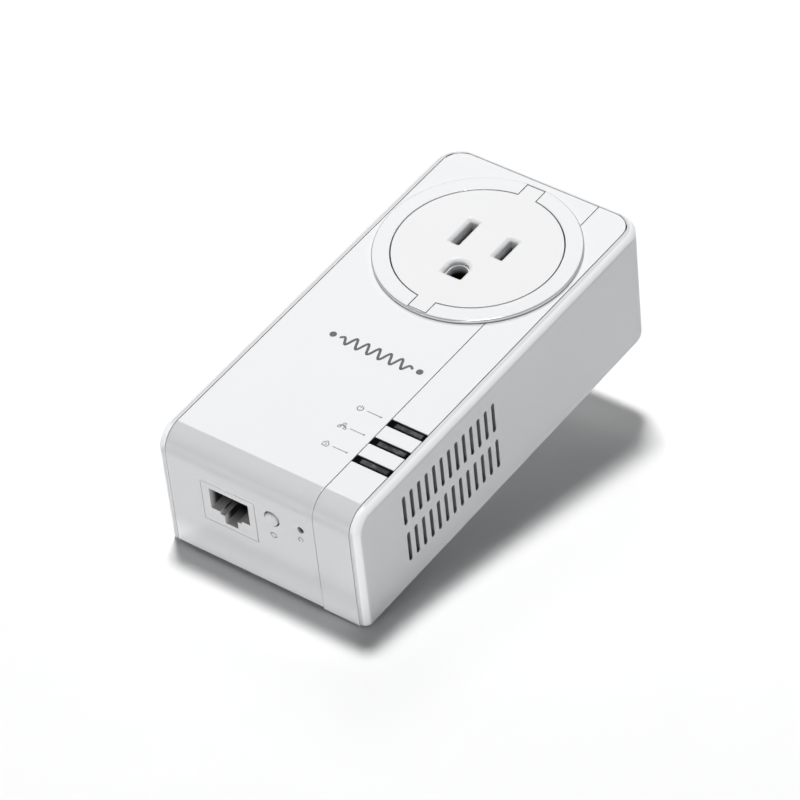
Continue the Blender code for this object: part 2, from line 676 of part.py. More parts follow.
def make_plug_pins():
    for name, x, width in (("plug_blade_neutral", -BLADE_X, NEUTRAL_WIDTH),
                           ("plug_blade_live", BLADE_X, LIVE_WIDTH)):
        low, high = BLADE_Y - width / 2, BLADE_Y + width / 2
        outline = [(low + BLADE_BEVEL, -BLADE_LENGTH), (high - BLADE_BEVEL, -BLADE_LENGTH),
                   (high, BLADE_BEVEL - BLADE_LENGTH), (high, PIN_TOP), (low, PIN_TOP),
                   (low, BLADE_BEVEL - BLADE_LENGTH)]
        blade = prism(outline, "x", x - BLADE_THICKNESS / 2, x + BLADE_THICKNESS / 2)
        hole = cylinder((BLADE_Y, BLADE_HOLE_Z), BLADE_HOLE_RADIUS, "x", x - 2, x + 2, 20)
        finish(name, cut(blade, hole), "nickel")
    tip = arc((0.0, GROUND_RADIUS - GROUND_LENGTH), GROUND_RADIUS, -67.5, 0, 3)
    profile = [(0, -GROUND_LENGTH)] + tip + [(GROUND_RADIUS, PIN_TOP), (0, PIN_TOP)]
    finish("plug_ground_pin", turned(profile, (0.0, GROUND_Y), "z", 20), "nickel")


def make_leads():
    """Wires from beside the pins' inner ends, over the plug base, down to the mains board."""
    run_z = PLUG_BASE_TOP + 1.1
    routes = (
        ("lead_live", BLADE_X + 1.95, BLADE_Y, 15.5, "live_wire"),
        ("lead_neutral", -BLADE_X - 1.95, BLADE_Y, -15.5, "neutral_wire"),
        ("lead_ground", 3.75, GROUND_Y, 4.0, "ground_wire"),
    )
    for name, x, y, pad_x, slot in routes:
        path = [(x, y, run_z), (x, y - 3.0, run_z), (x * 0.4 + pad_x * 0.6, 13.5, run_z + 0.4),
                (pad_x, 9.2, run_z - 0.5), (pad_x, 8.0, run_z - 1.7), (pad_x, 8.0, OVER_MAINS)]
        finish(name, tube(path, 0.8), slot)


# ---------------------------------------------------------------- ports

def jack_cavity():
    """The stepped opening of an eight-way jack, with its latch notch towards the wall side."""
    left, right = [], []
    level = CAVITY_TOP
    for half, floor_z in CAVITY_STEPS:
        right += [(JACK_CENTRE_X + half, level), (JACK_CENTRE_X + half, floor_z)]
        left += [(JACK_CENTRE_X - half, level), (JACK_CENTRE_X - half, floor_z)]
        level = floor_z
    return prism(right + left[::-1], "y", PORT_Y - 1, PORT_Y + CAVITY_DEPTH)


def make_jack():
    finish("ethernet_jack", cut(box(JACK_LOW, JACK_HIGH), jack_cavity()), "port_plastic")
    near_y = PORT_Y + 2.2
    far_y = PORT_Y + CAVITY_DEPTH - GAP
    top = CAVITY_TOP - GAP
    wires = []
    for i in range(8):
        x = JACK_CENTRE_X + (i - 3.5) * CONTACT_PITCH
        outline = [(near_y, top - CONTACT_WIRE), (far_y, top - CONTACT_DROP - CONTACT_WIRE),
                   (far_y, top - CONTACT_DROP), (near_y, top)]
        wires.append(prism(outline, "x", x - CONTACT_WIRE / 2, x + CONTACT_WIRE / 2))
    bar = box((JACK_CENTRE_X - 4.3, far_y - 0.8, top - CONTACT_DROP - 0.4),
              (JACK_CENTRE_X + 4.3, far_y, top - 0.4))
    finish("jack_contacts", joined(bar, *wires), "gold_contacts")


def make_sync_button():
    face_y = PORT_Y - SYNC_PROUD
    flange_y = PORT_Y + SHEET + GAP
    profile = [(0, face_y), (SYNC_CAP_RADIUS - 0.55, face_y), (SYNC_CAP_RADIUS - 0.15, face_y + 0.15),
               (SYNC_CAP_RADIUS, face_y + 0.5), (SYNC_CAP_RADIUS, flange_y), (SYNC_FLANGE_RADIUS, flange_y),
               (SYNC_FLANGE_RADIUS, flange_y + SYNC_FLANGE), (SYNC_STEM_RADIUS, flange_y + SYNC_FLANGE),
               (SYNC_STEM_RADIUS, SYNC_STEM_END_Y), (0, SYNC_STEM_END_Y)]
    shape = turned(profile, (SYNC_X, SYNC_Z), "y", 24)
    finish("sync_button", shape, "port_plastic", (SYNC_X, face_y, SYNC_Z))


def make_switch(name, x, z, half_width, plunger_radius):
    """A side-push switch under the main board, its plunger facing the port end."""
    body = box((x - half_width, SWITCH_NEAR_Y, z - plunger_radius - SWITCH_WALL),
               (x + half_width, SWITCH_FAR_Y, UNDER_MAIN))
    bore = cylinder((x, z), plunger_radius + 0.25, "y", SWITCH_NEAR_Y - 1, SWITCH_BORE_END_Y, 16)
    finish(name + "_switch_body", cut(body, bore), "black_plastic")
    plunger = cylinder((x, z), plunger_radius, "y", PLUNGER_TIP_Y, PLUNGER_END_Y, 16)
    finish(name + "_switch_plunger", plunger, "port_plastic", (x, PLUNGER_TIP_Y, z))


# ---------------------------------------------------------------- electronics

def make_board(name, z, far_y):
    shape = box((-BOARD_HALF_WIDTH, BOARD_NEAR_Y, z), (BOARD_HALF_WIDTH, far_y, z + BOARD_SHEET))
    notches = []
    for side in (-1, 1):
        ends = sorted((side * BOARD_NOTCH_X, side * HALF_WIDTH))
        notches.append(box((ends[0], PORT_Y, z - 1), (ends[1], BOARD_NOTCH_Y, z + BOARD_SHEET + 1)))
    finish(name, cut(shape, *notches), "board_green")


def make_blocks():
    """Parts on the boards that are plain blocks: low X and Y, high X and Y, low and high Z."""
    blocks = {
        "soc_chip": ((-11, -22), (3, -8), OVER_MAIN, OVER_MAIN + 1.2, "black_plastic"),
        "memory_chip": ((8.5, -19), (14.5, -9), OVER_MAIN, OVER_MAIN + 1.0, "black_plastic"),
        "lan_transformer": ((-15.6, -40.2), (-2.9, -30.7), UNDER_MAIN - 5.2, UNDER_MAIN, "grey_plastic"),
        "coupling_transformer": ((4, -30), (13, -21), UNDER_MAIN - 7.0, UNDER_MAIN, "ferrite"),
        "bridge_rectifier": ((5, -20), (13, -14), OVER_MAINS, OVER_MAINS + 2.6, "black_plastic"),
    }
    for name, (low, high, low_z, high_z, slot) in blocks.items():
        finish(name, prism(rectangle(low, high), "z", low_z, high_z), slot)
    crystal = prism(rounded_rectangle((8.0, -27.0), (13.0, -23.8), 0.8), "z", OVER_MAIN, OVER_MAIN + 1.1)
    finish("crystal", crystal, "aluminium")
    film = prism(rounded_rectangle((-11.5, 1.5), (1.5, 7.5), 0.8), "z", OVER_MAINS, OVER_MAINS + 10.0)
    finish("safety_capacitor", film, "capacitor_sleeve")


def make_heat_sink():
    low_x, high_x, near_y, far_y = -13.5, 5.5, -24.5, -5.5
    base_z = OVER_MAIN + 1.2 + GAP
    fin_top = FRONT_Z - 2.7
    fin_count, fin_width = 7, 1.2
    pitch = (high_x - low_x - fin_width) / (fin_count - 1)
    shape = box((low_x, near_y, base_z), (high_x, far_y, base_z + 1.2))
    fins = [box((low_x + i * pitch, near_y, base_z + 0.6), (low_x + i * pitch + fin_width, far_y, fin_top))
            for i in range(fin_count)]
    finish("heat_sink", joined(shape, *fins), "aluminium")


def make_board_link():
    """A row of pins through a bar, from one board to the other, and the sheet between them."""
    first_x, pin_y, pitch, half = 17.3, -0.9, 2.0, 0.3
    pins = []
    for i in range(4):
        x = first_x + i * pitch
        pins.append(box((x - half, pin_y - half, OVER_MAINS), (x + half, pin_y + half, UNDER_MAIN)))
    bar_low = (first_x - 1.1, pin_y - 1.3, 15.0)
    bar_high = (first_x + 3 * pitch + 1.1, pin_y + 1.3, 17.5)
    finish("board_link", joined(box(bar_low, bar_high), *pins), "black_plastic")
    half_x, near_y, far_y, low_z, high_z = 25.5, -29.0, 2.4, 17.9, 18.3
    sheet = box((-half_x, near_y, low_z), (half_x, far_y, high_z))
    clearance = 1.2
    notch = box((bar_low[0] - clearance, bar_low[1] - clearance, low_z - 1),
                (half_x + 1, far_y + 1, high_z + 1))
    finish("insulation_sheet", cut(sheet, notch), "grey_plastic")


def make_transformer():
    x, y = 9.0, -38.0
    top = 20.5
    yoke = 2.6
    core = prism(centred_rectangle((x, y), 9.0, 4.5), "z", OVER_MAINS, top)
    windows = [prism(centred_rectangle((x + side * 4.6, y), 1.9, 6.0), "z", OVER_MAINS + yoke, top - yoke)
               for side in (-1, 1)]
    finish("transformer_core", cut(core, *windows), "ferrite")
    coil = prism(rounded_rectangle((x - 6.2, y - 8.0), (x + 6.2, y + 8.0), 2.0), "z",
                 OVER_MAINS + yoke + GAP, top - yoke - GAP)
    bore = prism(centred_rectangle((x, y), 3.0, 4.8), "z", OVER_MAINS, top)
    finish("transformer_coil", cut(coil, bore), "winding_tape")


def make_round_parts():
    radius = 5.0
    can = [(0, -30.0), (radius - 0.5, -30.0), (radius, -29.5), (radius, -12.5),
           (radius - 0.4, -12.0), (radius, -11.5), (radius, -10.0), (0, -10.0)]
    finish("bulk_capacitor", turned(can, (-18.5, OVER_MAINS + radius), "y"), "capacitor_sleeve")
    radius = 3.15
    foot, top = OVER_MAINS, 17.4
    can = [(0, foot), (radius, foot), (radius, foot + 1.0), (radius - 0.2, foot + 1.3),
           (radius, foot + 1.6), (radius, top), (0, top)]
    finish("output_capacitor", turned(can, (22.0, -24.0), "z", 20), "capacitor_sleeve")
    ring = [(2.4, OVER_MAINS), (5.8, OVER_MAINS), (5.8, OVER_MAINS + 4.5), (2.4, OVER_MAINS + 4.5)]
    finish("filter_choke", turned_ring(ring, (-4.0, -8.0), "z", 20), "winding_tape")
    radius, cap_radius = 1.6, 1.75
    fuse = [(0, -8.0), (cap_radius, -8.0), (cap_radius, -6.0), (radius, -6.0),
            (radius, 0.0), (cap_radius, 0.0), (cap_radius, 2.0), (0, 2.0)]
    finish("fuse", turned(fuse, (9.0, OVER_MAINS + cap_radius), "y", 16), "fuse_glass")
    finish("varistor", cylinder((5.2, OVER_MAINS + 4.5), 4.2, "x", 18.5, 21.7, 20), "capacitor_sleeve")


# ---------------------------------------------------------------- fasteners and label

def make_screws():
    head_top = COUNTERBORE_TOP - GAP
    for i, (x, y) in enumerate(SCREW_PLACES):
        profile = [(0, SCREW_HEAD_BOTTOM), (SCREW_HEAD_RADIUS - 0.5, SCREW_HEAD_BOTTOM),
                   (SCREW_HEAD_RADIUS, SCREW_HEAD_BOTTOM + 0.6), (SCREW_HEAD_RADIUS, head_top),
                   (SCREW_RADIUS, head_top), (SCREW_RADIUS, SCREW_TIP - 1.0), (0, SCREW_TIP)]
        shape = turned(profile, (x, y), "z", 16)
        for half_x, half_y in ((1.4, 0.3), (0.3, 1.4)):
            slot = prism(centred_rectangle((x, y), half_x, half_y), "z", 0, SCREW_HEAD_BOTTOM + 0.9)
            shape = cut(shape, slot)
        finish(f"case_screw_{i + 1}", shape, "screw_steel")


def make_rating_label():
    label = prism(rounded_rectangle(LABEL_LOW, LABEL_HIGH, 1.2), "z", *LABEL_Z)
    finish("rating_label", label, "label_paper")


def main():
    for existing in list(bpy.data.objects):
        bpy.data.objects.remove(existing)

    make_rear_housing()
    make_front_cover()
    make_led_strip_cover()
    make_lights()
    make_outlet_ring()
    make_socket_face()
    make_socket_carrier()
    make_contacts()
    make_plug_base()
    make_plug_pins()
    make_leads()
    make_jack()
    make_sync_button()
    make_switch("sync", SYNC_X, SYNC_Z, 3.0, 1.3)
    make_switch("reset", RESET_X, RESET_Z, 2.4, 0.8)
    make_board("main_board", MAIN_BOARD_Z, MAIN_BOARD_FAR_Y)
    make_board("mains_board", MAINS_BOARD_Z, MAINS_BOARD_FAR_Y)
    make_blocks()
    make_heat_sink()
    make_board_link()
    make_transformer()
    make_round_parts()
    make_screws()
    make_rating_label()


main()
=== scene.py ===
"""The powerline adapter's looks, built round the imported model.

Shapes are made in millimetres, in the model's own frame: +Z out of the front face, +Y towards the
outlet, -Y out of the port end. `piece` turns them into metres. GAP is the room left between parts. CLEAR and
FAR_CLEAR are how far a cutting tool or a tinted region reaches past the surface that it meets.
"""

import json
import math

import bmesh
import bpy
from mathutils import Matrix, Vector


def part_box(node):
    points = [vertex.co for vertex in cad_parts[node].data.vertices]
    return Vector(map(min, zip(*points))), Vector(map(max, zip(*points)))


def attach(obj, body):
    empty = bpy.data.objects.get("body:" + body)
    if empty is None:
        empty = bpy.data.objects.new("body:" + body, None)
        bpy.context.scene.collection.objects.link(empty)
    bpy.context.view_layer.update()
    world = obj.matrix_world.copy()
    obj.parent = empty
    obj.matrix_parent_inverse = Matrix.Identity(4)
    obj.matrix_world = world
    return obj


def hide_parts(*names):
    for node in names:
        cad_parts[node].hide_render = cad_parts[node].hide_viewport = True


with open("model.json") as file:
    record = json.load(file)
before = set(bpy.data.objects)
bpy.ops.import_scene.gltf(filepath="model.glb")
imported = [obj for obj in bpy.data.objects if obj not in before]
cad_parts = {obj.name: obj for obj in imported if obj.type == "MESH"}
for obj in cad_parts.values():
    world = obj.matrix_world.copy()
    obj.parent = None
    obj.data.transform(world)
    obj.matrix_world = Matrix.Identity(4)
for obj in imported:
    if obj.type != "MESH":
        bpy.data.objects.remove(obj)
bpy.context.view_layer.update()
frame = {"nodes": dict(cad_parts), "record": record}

MM = 0.001
MICROMETRE = 1e-6
GAP = 0.3
CLEAR = 1.0
FAR_CLEAR = 5.0
AXES = {"x": 0, "y": 1, "z": 2}


def node_box(node):
    """A CAD node's lowest and highest corners, in millimetres."""
    low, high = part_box(node)
    return low / MM, high / MM


def node_middle(node):
    """The X and Z of a CAD node's middle, in millimetres."""
    low, high = node_box(node)
    return (low.x + high.x) / 2, (low.z + high.z) / 2


BODY_LOW, BODY_HIGH = node_box("rear_housing")
HALF_WIDTH = BODY_HIGH.x
HALF_LENGTH = BODY_HIGH.y
PORT_Y = BODY_LOW.y
FRONT_Z = BODY_HIGH.z
BEND_RADIUS = 6.5
EDGE_RADIUS = 2.2
BACK_EDGE_RADIUS = 1.2
FAR_CORNER_RADIUS = 8.0
BEND_Y = PORT_Y + BEND_RADIUS
BEND_Z = FRONT_Z - BEND_RADIUS
SHEET = 2.0
FOOT_RADIUS = 0.35

COVER_X = node_box("front_cover")[1].x
COVER_FAR_Y = node_box("front_cover")[1].y
COVER_CORNER_RADIUS = 5.65
TUB_SEAM = 0.18
TUB_OPENING_X = COVER_X + TUB_SEAM
TUB_OPENING_Y = COVER_FAR_Y + TUB_SEAM
TUB_CORNER_RADIUS = COVER_CORNER_RADIUS + TUB_SEAM
COVER_FOOT_Z = node_box("front_cover")[0].z

STRIP_X = node_box("led_strip_cover")[0].x
STRIP_SHEET = 1.3
STRIP_SEAM_X = STRIP_X - GAP / 2
SEAM_SHOWN = 0.14
LIGHTS = ("power", "ethernet", "powerline")
GROOVE_MARGIN = 0.15
GROOVE_DEPTH = 0.8

OUTLET_Y = 31.3
OUTLET_Z = node_box("socket_face")[1].z
DISC_RADIUS = 21.9
DISC_SHEET = 2.0
RING_RADIUS = 26.9
RING_SLEEVE_RADIUS = 24.7
RING_LOW_Z = node_box("outlet_ring")[0].z
RING_FLANGE_Z = FRONT_Z + 0.15
TAB_REACH = 26.1
TAB_HALF_WIDTH = 2.6
TAB_SHEET = 0.7
BLADE_X = 6.35
BLADE_Y = 34.7
GROUND_Y = 22.8
COLLAR_Z = node_box("socket_face")[0].z
CORNER_GROWTH = 0.6

JACK_LOW, JACK_HIGH = node_box("ethernet_jack")
JACK_CENTRE_X = -9.25
CAVITY_DEPTH = 13.0
CAVITY_TOP = JACK_HIGH.z - 1.6
CAVITY_STEPS = ((5.95, JACK_LOW.z + 4.7), (3.25, JACK_LOW.z + 3.8), (1.95, JACK_LOW.z + 1.4))

SYNC_X, SYNC_Z = node_middle("sync_button")
SYNC_HOLE_RADIUS = 2.3
RESET_X, RESET_Z = node_middle("reset_switch_plunger")
RESET_HOLE_RADIUS = 0.95

VENT_COUNT = 13
VENT_PITCH = 3.12
VENT_WIDTH = 1.38
VENT_ROWS = ((FRONT_Z - 29.0, FRONT_Z - 19.5, -43.65), (FRONT_Z - 16.4, FRONT_Z - 6.9, -44.03))
VENT_LIP = 0.15

SCREW_PLACES = ((-24.0, -55.0), (24.0, -55.0), (-22.5, 54.5), (22.5, 54.5))
PLUG_RIM = 1.5
PLUG_CORNER = 3.0
LABEL_CORNER = 1.2


# ------------ outlines

def arc(centre, radius, start, end, steps):
    """Points along an arc from one angle to another, in degrees."""
    points = []
    for i in range(steps + 1):
        angle = math.radians(start + (end - start) * i / steps)
        points.append((centre[0] + radius * math.cos(angle), centre[1] + radius * math.sin(angle)))
    return points


def circle(centre, radius, steps=64):
    return arc(centre, radius, 0, 360, steps)[:-1]


def rectangle(low, high):
    return [(low[0], low[1]), (high[0], low[1]), (high[0], high[1]), (low[0], high[1])]


def rounded_rectangle(low, high, radius, steps=8):
    x0, y0, x1, y1 = low[0], low[1], high[0], high[1]
    return (
        arc((x1 - radius, y0 + radius), radius, -90, 0, steps)
        + arc((x1 - radius, y1 - radius), radius, 0, 90, steps)
        + arc((x0 + radius, y1 - radius), radius, 90, 180, steps)
        + arc((x0 + radius, y0 + radius), radius, 180, 270, steps)
    )


def centred_rectangle(centre, half_x, half_y, radius=0.0):
    """A rectangle about its middle, with round corners if it has a radius."""
    low = (centre[0] - half_x, centre[1] - half_y)
    high = (centre[0] + half_x, centre[1] + half_y)
    return rounded_rectangle(low, high, radius) if radius else rectangle(low, high)


def far_rounded_outline(half_width, far_y, radius, steps=28):
    """An outline that runs past the port end and has round corners at the far end."""
    near_y = PORT_Y - FAR_CLEAR
    return (
        [(-half_width, near_y), (half_width, near_y)]
        + arc((half_width - radius, far_y - radius), radius, 0, 90, steps)
        + arc((radius - half_width, far_y - radius), radius, 90, 180, steps)
    )


def bent_sheet_outline(foot_z, inset, thickness, steps=30):
    """Section, in Y and Z, of a sheet along the front that bends down over the port end."""
    outer = BEND_RADIUS - inset
    inner = outer - thickness
    centre = (BEND_Y, BEND_Z)
    foot = (BEND_Y - outer + FOOT_RADIUS, foot_z + FOOT_RADIUS)
    return (
        arc(foot, FOOT_RADIUS, 180, 270, 5)
        + [(BEND_Y - inner, foot_z)]
        + arc(centre, inner, 180, 90, steps)
        + [(HALF_LENGTH, BEND_Z + inner), (HALF_LENGTH, BEND_Z + outer)]
        + arc(centre, outer, 90, 180, steps)
    )


# ------------ solids

def to_space(point, axis, height):
    """A point of an outline, at a height along the axis that the outline faces."""
    spot = list(point)
    spot.insert(AXES[axis], height)
    return Vector(spot)


def skin(rings, wrap=False):
    """A closed solid through rings with the same number of points, or a closed loop of them."""
    shape = bmesh.new()
    rows = [[shape.verts.new(point) for point in ring] for ring in rings]
    count = len(rows[0])
    following = rows[1:] + rows[:1] if wrap else rows[1:]
    for lower, upper in zip(rows, following):
        for i in range(count):
            j = (i + 1) % count
            shape.faces.new((lower[i], lower[j], upper[j], upper[i]))
    if not wrap:
        shape.faces.new(list(reversed(rows[0])))
        shape.faces.new(rows[-1])
    bmesh.ops.recalc_face_normals(shape, faces=shape.faces)
    return shape


def prism(outline, axis, low, high):
    return skin([[to_space(point, axis, height) for point in outline] for height in (low, high)])


def box(low, high):
    return prism(rectangle(low, high), "z", low[2], high[2])


def cylinder(centre, radius, axis, low, high, steps=64):
    return prism(circle(centre, radius, steps), axis, low, high)


def grown_prism(outline, axis, levels):
    """A prism whose outline, a function of its growth, changes with height."""
    return skin([[to_space(point, axis, height) for point in outline(growth)]
                 for height, growth in levels])


def turned(profile, centre, axis, steps=96):
    """A solid of revolution. The profile lists (radius, height) and ends on the axis at both ends."""
    shape = bmesh.new()
    rows = []
    for radius, height in profile:
        if radius == 0:
            rows.append([shape.verts.new(to_space(centre, axis, height))])
        else:
            ring = circle(centre, radius, steps)
            rows.append([shape.verts.new(to_space(point, axis, height)) for point in ring])
    for lower, upper in zip(rows, rows[1:]):
        for i in range(steps):
            j = (i + 1) % steps
            corners = [lower[i % len(lower)], lower[j % len(lower)]]
            corners += [upper[j % len(upper)], upper[i % len(upper)]]
            shape.faces.new(list(dict.fromkeys(corners)))
    bmesh.ops.recalc_face_normals(shape, faces=shape.faces)
    return shape


def turned_ring(profile, centre, axis, steps=160):
    """A ring of revolution. The profile is a closed outline of (radius, height)."""
    return skin([[to_space(point, axis, height) for point in circle(centre, radius, steps)]
                 for radius, height in profile], wrap=True)


def mesh_of(shape, name):
    """The shape as a mesh. The shape itself is freed."""
    mesh = bpy.data.meshes.new(name)
    shape.to_mesh(mesh)
    shape.free()
    return mesh


def placed(name, data):
    """An object in the scene that shows the data."""
    made = bpy.data.objects.new(name, data)
    bpy.context.scene.collection.objects.link(made)
    return made


def merged(shapes):
    """Several shapes as one, without a union."""
    total = bmesh.new()
    for shape in shapes:
        mesh = mesh_of(shape, "merging")
        total.from_mesh(mesh)
        bpy.data.meshes.remove(mesh)
    return total


def combined(first, second, operation):
    """The exact Boolean of two shapes."""
    operands = [placed("operand", mesh_of(shape, "operand")) for shape in (first, second)]
    modifier = operands[0].modifiers.new("Boolean", "BOOLEAN")
    modifier.operation = operation
    modifier.solver = "EXACT"
    modifier.object = operands[1]
    bpy.context.view_layer.update()
    evaluated = operands[0].evaluated_get(bpy.context.evaluated_depsgraph_get())
    result = bmesh.new()
    result.from_mesh(evaluated.to_mesh())
    evaluated.to_mesh_clear()
    for operand in operands:
        mesh = operand.data
        bpy.data.objects.remove(operand)
        bpy.data.meshes.remove(mesh)
    return result


def cut(shape, *tools):
    """The shape less its tools, which must not overlap one another."""
    return combined(shape, merged(tools), "DIFFERENCE")


def joined(shape, *others):
    for other in others:
        shape = combined(shape, other, "UNION")
    return shape


def strip_line(points, width, closed=False):
    """Outline pairs (left, right) of a flat line of that width along 2-D points."""
    count = len(points)
    pairs = []
    for i, (x, y) in enumerate(points):
        before = points[(i - 1) % count] if closed or i else points[0]
        after = points[(i + 1) % count] if closed or i < count - 1 else points[-1]
        along = Vector((after[0] - before[0], after[1] - before[1])).normalized()
        side = Vector((-along.y, along.x)) * width / 2
        pairs.append(((x + side.x, y + side.y), (x - side.x, y - side.y)))
    return pairs


# ------------ materials

def texture_nodes(tree, scale, detail=3.0, roughness=0.5):
    """Noise over the object's own coordinates, which are in metres."""
    nodes, links = tree.nodes, tree.links
    coordinates = nodes.new("ShaderNodeTexCoord")
    noise = nodes.new("ShaderNodeTexNoise")
    noise.inputs["Scale"].default_value = scale
    noise.inputs["Detail"].default_value = detail
    noise.inputs["Roughness"].default_value = roughness
    links.new(coordinates.outputs["Object"], noise.inputs["Vector"])
    return noise


def spread(tree, source, low, high):
    """Maps a 0 to 1 value onto low to high."""
    ramp = tree.nodes.new("ShaderNodeMapRange")
    ramp.inputs["From Min"].default_value = 0.25
    ramp.inputs["From Max"].default_value = 0.75
    ramp.inputs["To Min"].default_value = low
    ramp.inputs["To Max"].default_value = high
    tree.links.new(source, ramp.inputs["Value"])
    return ramp.outputs["Result"]


def blended(tree, factor, first, second):
    mix = tree.nodes.new("ShaderNodeMix")
    mix.data_type = "RGBA"
    mix.inputs["A"].default_value = (*first, 1.0)
    mix.inputs["B"].default_value = (*second, 1.0)
    tree.links.new(factor, mix.inputs["Factor"])
    return mix.outputs["Result"]


def calculated(tree, operation, *values):
    """A Math node. Each value is a number or another node's output."""
    node = tree.nodes.new("ShaderNodeMath")
    node.operation = operation
    for socket, value in zip(node.inputs, values):
        if isinstance(value, (int, float)):
            socket.default_value = value
        else:
            tree.links.new(value, socket)
    return node.outputs["Value"]


def coordinate_parts(tree, kind):
    """The X, Y and Z outputs of one kind of coordinates."""
    coordinates = tree.nodes.new("ShaderNodeTexCoord")
    parts = tree.nodes.new("ShaderNodeSeparateXYZ")
    tree.links.new(coordinates.outputs[kind], parts.inputs["Vector"])
    return parts.outputs


def smooth_step(tree, source, start, end, low=0.0, high=1.0):
    """low up to where the source passes start, high from where it passes end, and smooth between."""
    ramp = tree.nodes.new("ShaderNodeMapRange")
    ramp.interpolation_type = "SMOOTHSTEP"
    ramp.inputs["From Min"].default_value = start
    ramp.inputs["From Max"].default_value = end
    ramp.inputs["To Min"].default_value = low
    ramp.inputs["To Max"].default_value = high
    tree.links.new(source, ramp.inputs["Value"])
    return ramp.outputs["Result"]


def inside_box(tree, low, high, soft):
    """1 inside a box in the object's own millimetres, falling to 0 at its sides over a soft edge."""
    parts = coordinate_parts(tree, "Object")
    depth = None
    for axis, near, far in zip("XYZ", low, high):
        middle = (near + far) / 2 * MM
        half = (far - near) / 2 * MM
        offset = calculated(tree, "ABSOLUTE", calculated(tree, "SUBTRACT", parts[axis], middle))
        reach = calculated(tree, "SUBTRACT", half, offset)
        depth = calculated(tree, "MINIMUM", depth, reach) if depth else reach
    return smooth_step(tree, depth, 0.0, soft * MM)


def on_edges(tree):
    """0 where the surface faces along an axis, 1 where it turns from one face to the next."""
    parts = coordinate_parts(tree, "Normal")
    sizes = [calculated(tree, "ABSOLUTE", parts[axis]) for axis in "XYZ"]
    greatest = calculated(tree, "MAXIMUM", calculated(tree, "MAXIMUM", sizes[0], sizes[1]), sizes[2])
    return smooth_step(tree, greatest, 0.99, 0.9)


def turned_from(tree, axis, start, end):
    """0 where the normal's part along an axis is at least start, 1 where it is at most end."""
    return smooth_step(tree, coordinate_parts(tree, "Normal")[axis], start, end)


def tinted(made, factor, colour):
    """Blends a made surface's colour into another one by a factor."""
    tree = made.node_tree
    shader = tree.nodes["Principled BSDF"]
    source = shader.inputs["Base Color"].links[0].from_socket
    mix = tree.nodes.new("ShaderNodeMix")
    mix.data_type = "RGBA"
    mix.inputs["B"].default_value = (*colour, 1.0)
    tree.links.new(source, mix.inputs["A"])
    tree.links.new(factor, mix.inputs["Factor"])
    tree.links.new(mix.outputs["Result"], shader.inputs["Base Color"])
    return made


def surface(name, colours, roughness, grain, bump, metallic=0.0, patch=60.0, coat=0.0, transmission=0.0,
            specular=0.5):
    """A moulded, plated or painted surface.

    colours are two close tones that drift over the surface, roughness its two limits, grain the size of
    its texture in millimetres and bump that texture's height in micrometres.
    """
    made = bpy.data.materials.new(name)
    made.use_nodes = True
    tree = made.node_tree
    shader = tree.nodes["Principled BSDF"]
    shader.inputs["Metallic"].default_value = metallic
    shader.inputs["Coat Weight"].default_value = coat
    shader.inputs["Transmission Weight"].default_value = transmission
    shader.inputs["Specular IOR Level"].default_value = specular
    drift = texture_nodes(tree, patch)
    fine = texture_nodes(tree, 1 / (grain * MM), 4.0, 0.6)
    tree.links.new(blended(tree, drift.outputs["Fac"], *colours), shader.inputs["Base Color"])
    tree.links.new(spread(tree, fine.outputs["Fac"], *roughness), shader.inputs["Roughness"])
    height = tree.nodes.new("ShaderNodeBump")
    height.inputs["Strength"].default_value = 1.0
    height.inputs["Distance"].default_value = bump * MICROMETRE
    tree.links.new(fine.outputs["Fac"], height.inputs["Height"])
    tree.links.new(height.outputs["Normal"], shader.inputs["Normal"])
    made.diffuse_color = (*colours[0], 1.0)
    return made


CASE_TONES = ((0.6, 0.605, 0.615), (0.62, 0.625, 0.635))
# Painted highlight along the tub's edges.
EDGE_PAINTED_HIGHLIGHT = (0.86, 0.865, 0.875)
# Painted light on the lower part of the port end.
FOOT_PAINTED_LIGHT = (0.92, 0.925, 0.935)
# Painted shade on the ring's rounded edge.
RING_EDGE_PAINTED_SHADE = (0.42, 0.422, 0.426)
# Painted light on the ring's side.
RING_SIDE_PAINTED_LIGHT = (0.84, 0.845, 0.855)
# Painted light: a pale line along the panels' foot, the mouths of the outlet's openings, and the up-facing
# parts of the jack and the button.
PAINTED_LIGHT = (0.95, 0.955, 0.965)
# Painted sheen in the middle of the light bars.
PAINTED_SHEEN = (0.5, 0.5, 0.51)
# Painted shade deep in the outlet's openings, inside the jack and round the button.
PAINTED_SHADE = (0.012, 0.012, 0.013)
# Painted shade inside the seams.
SEAM_SHADE = (0.05, 0.05, 0.052)
# Painted shade inside the port end, on the walls of its openings.
PORT_SEAM_SHADE = (0.3, 0.3, 0.304)
# Painted shade inside the tub, behind the vents.
VENT_SHADE = (0.4, 0.4, 0.405)


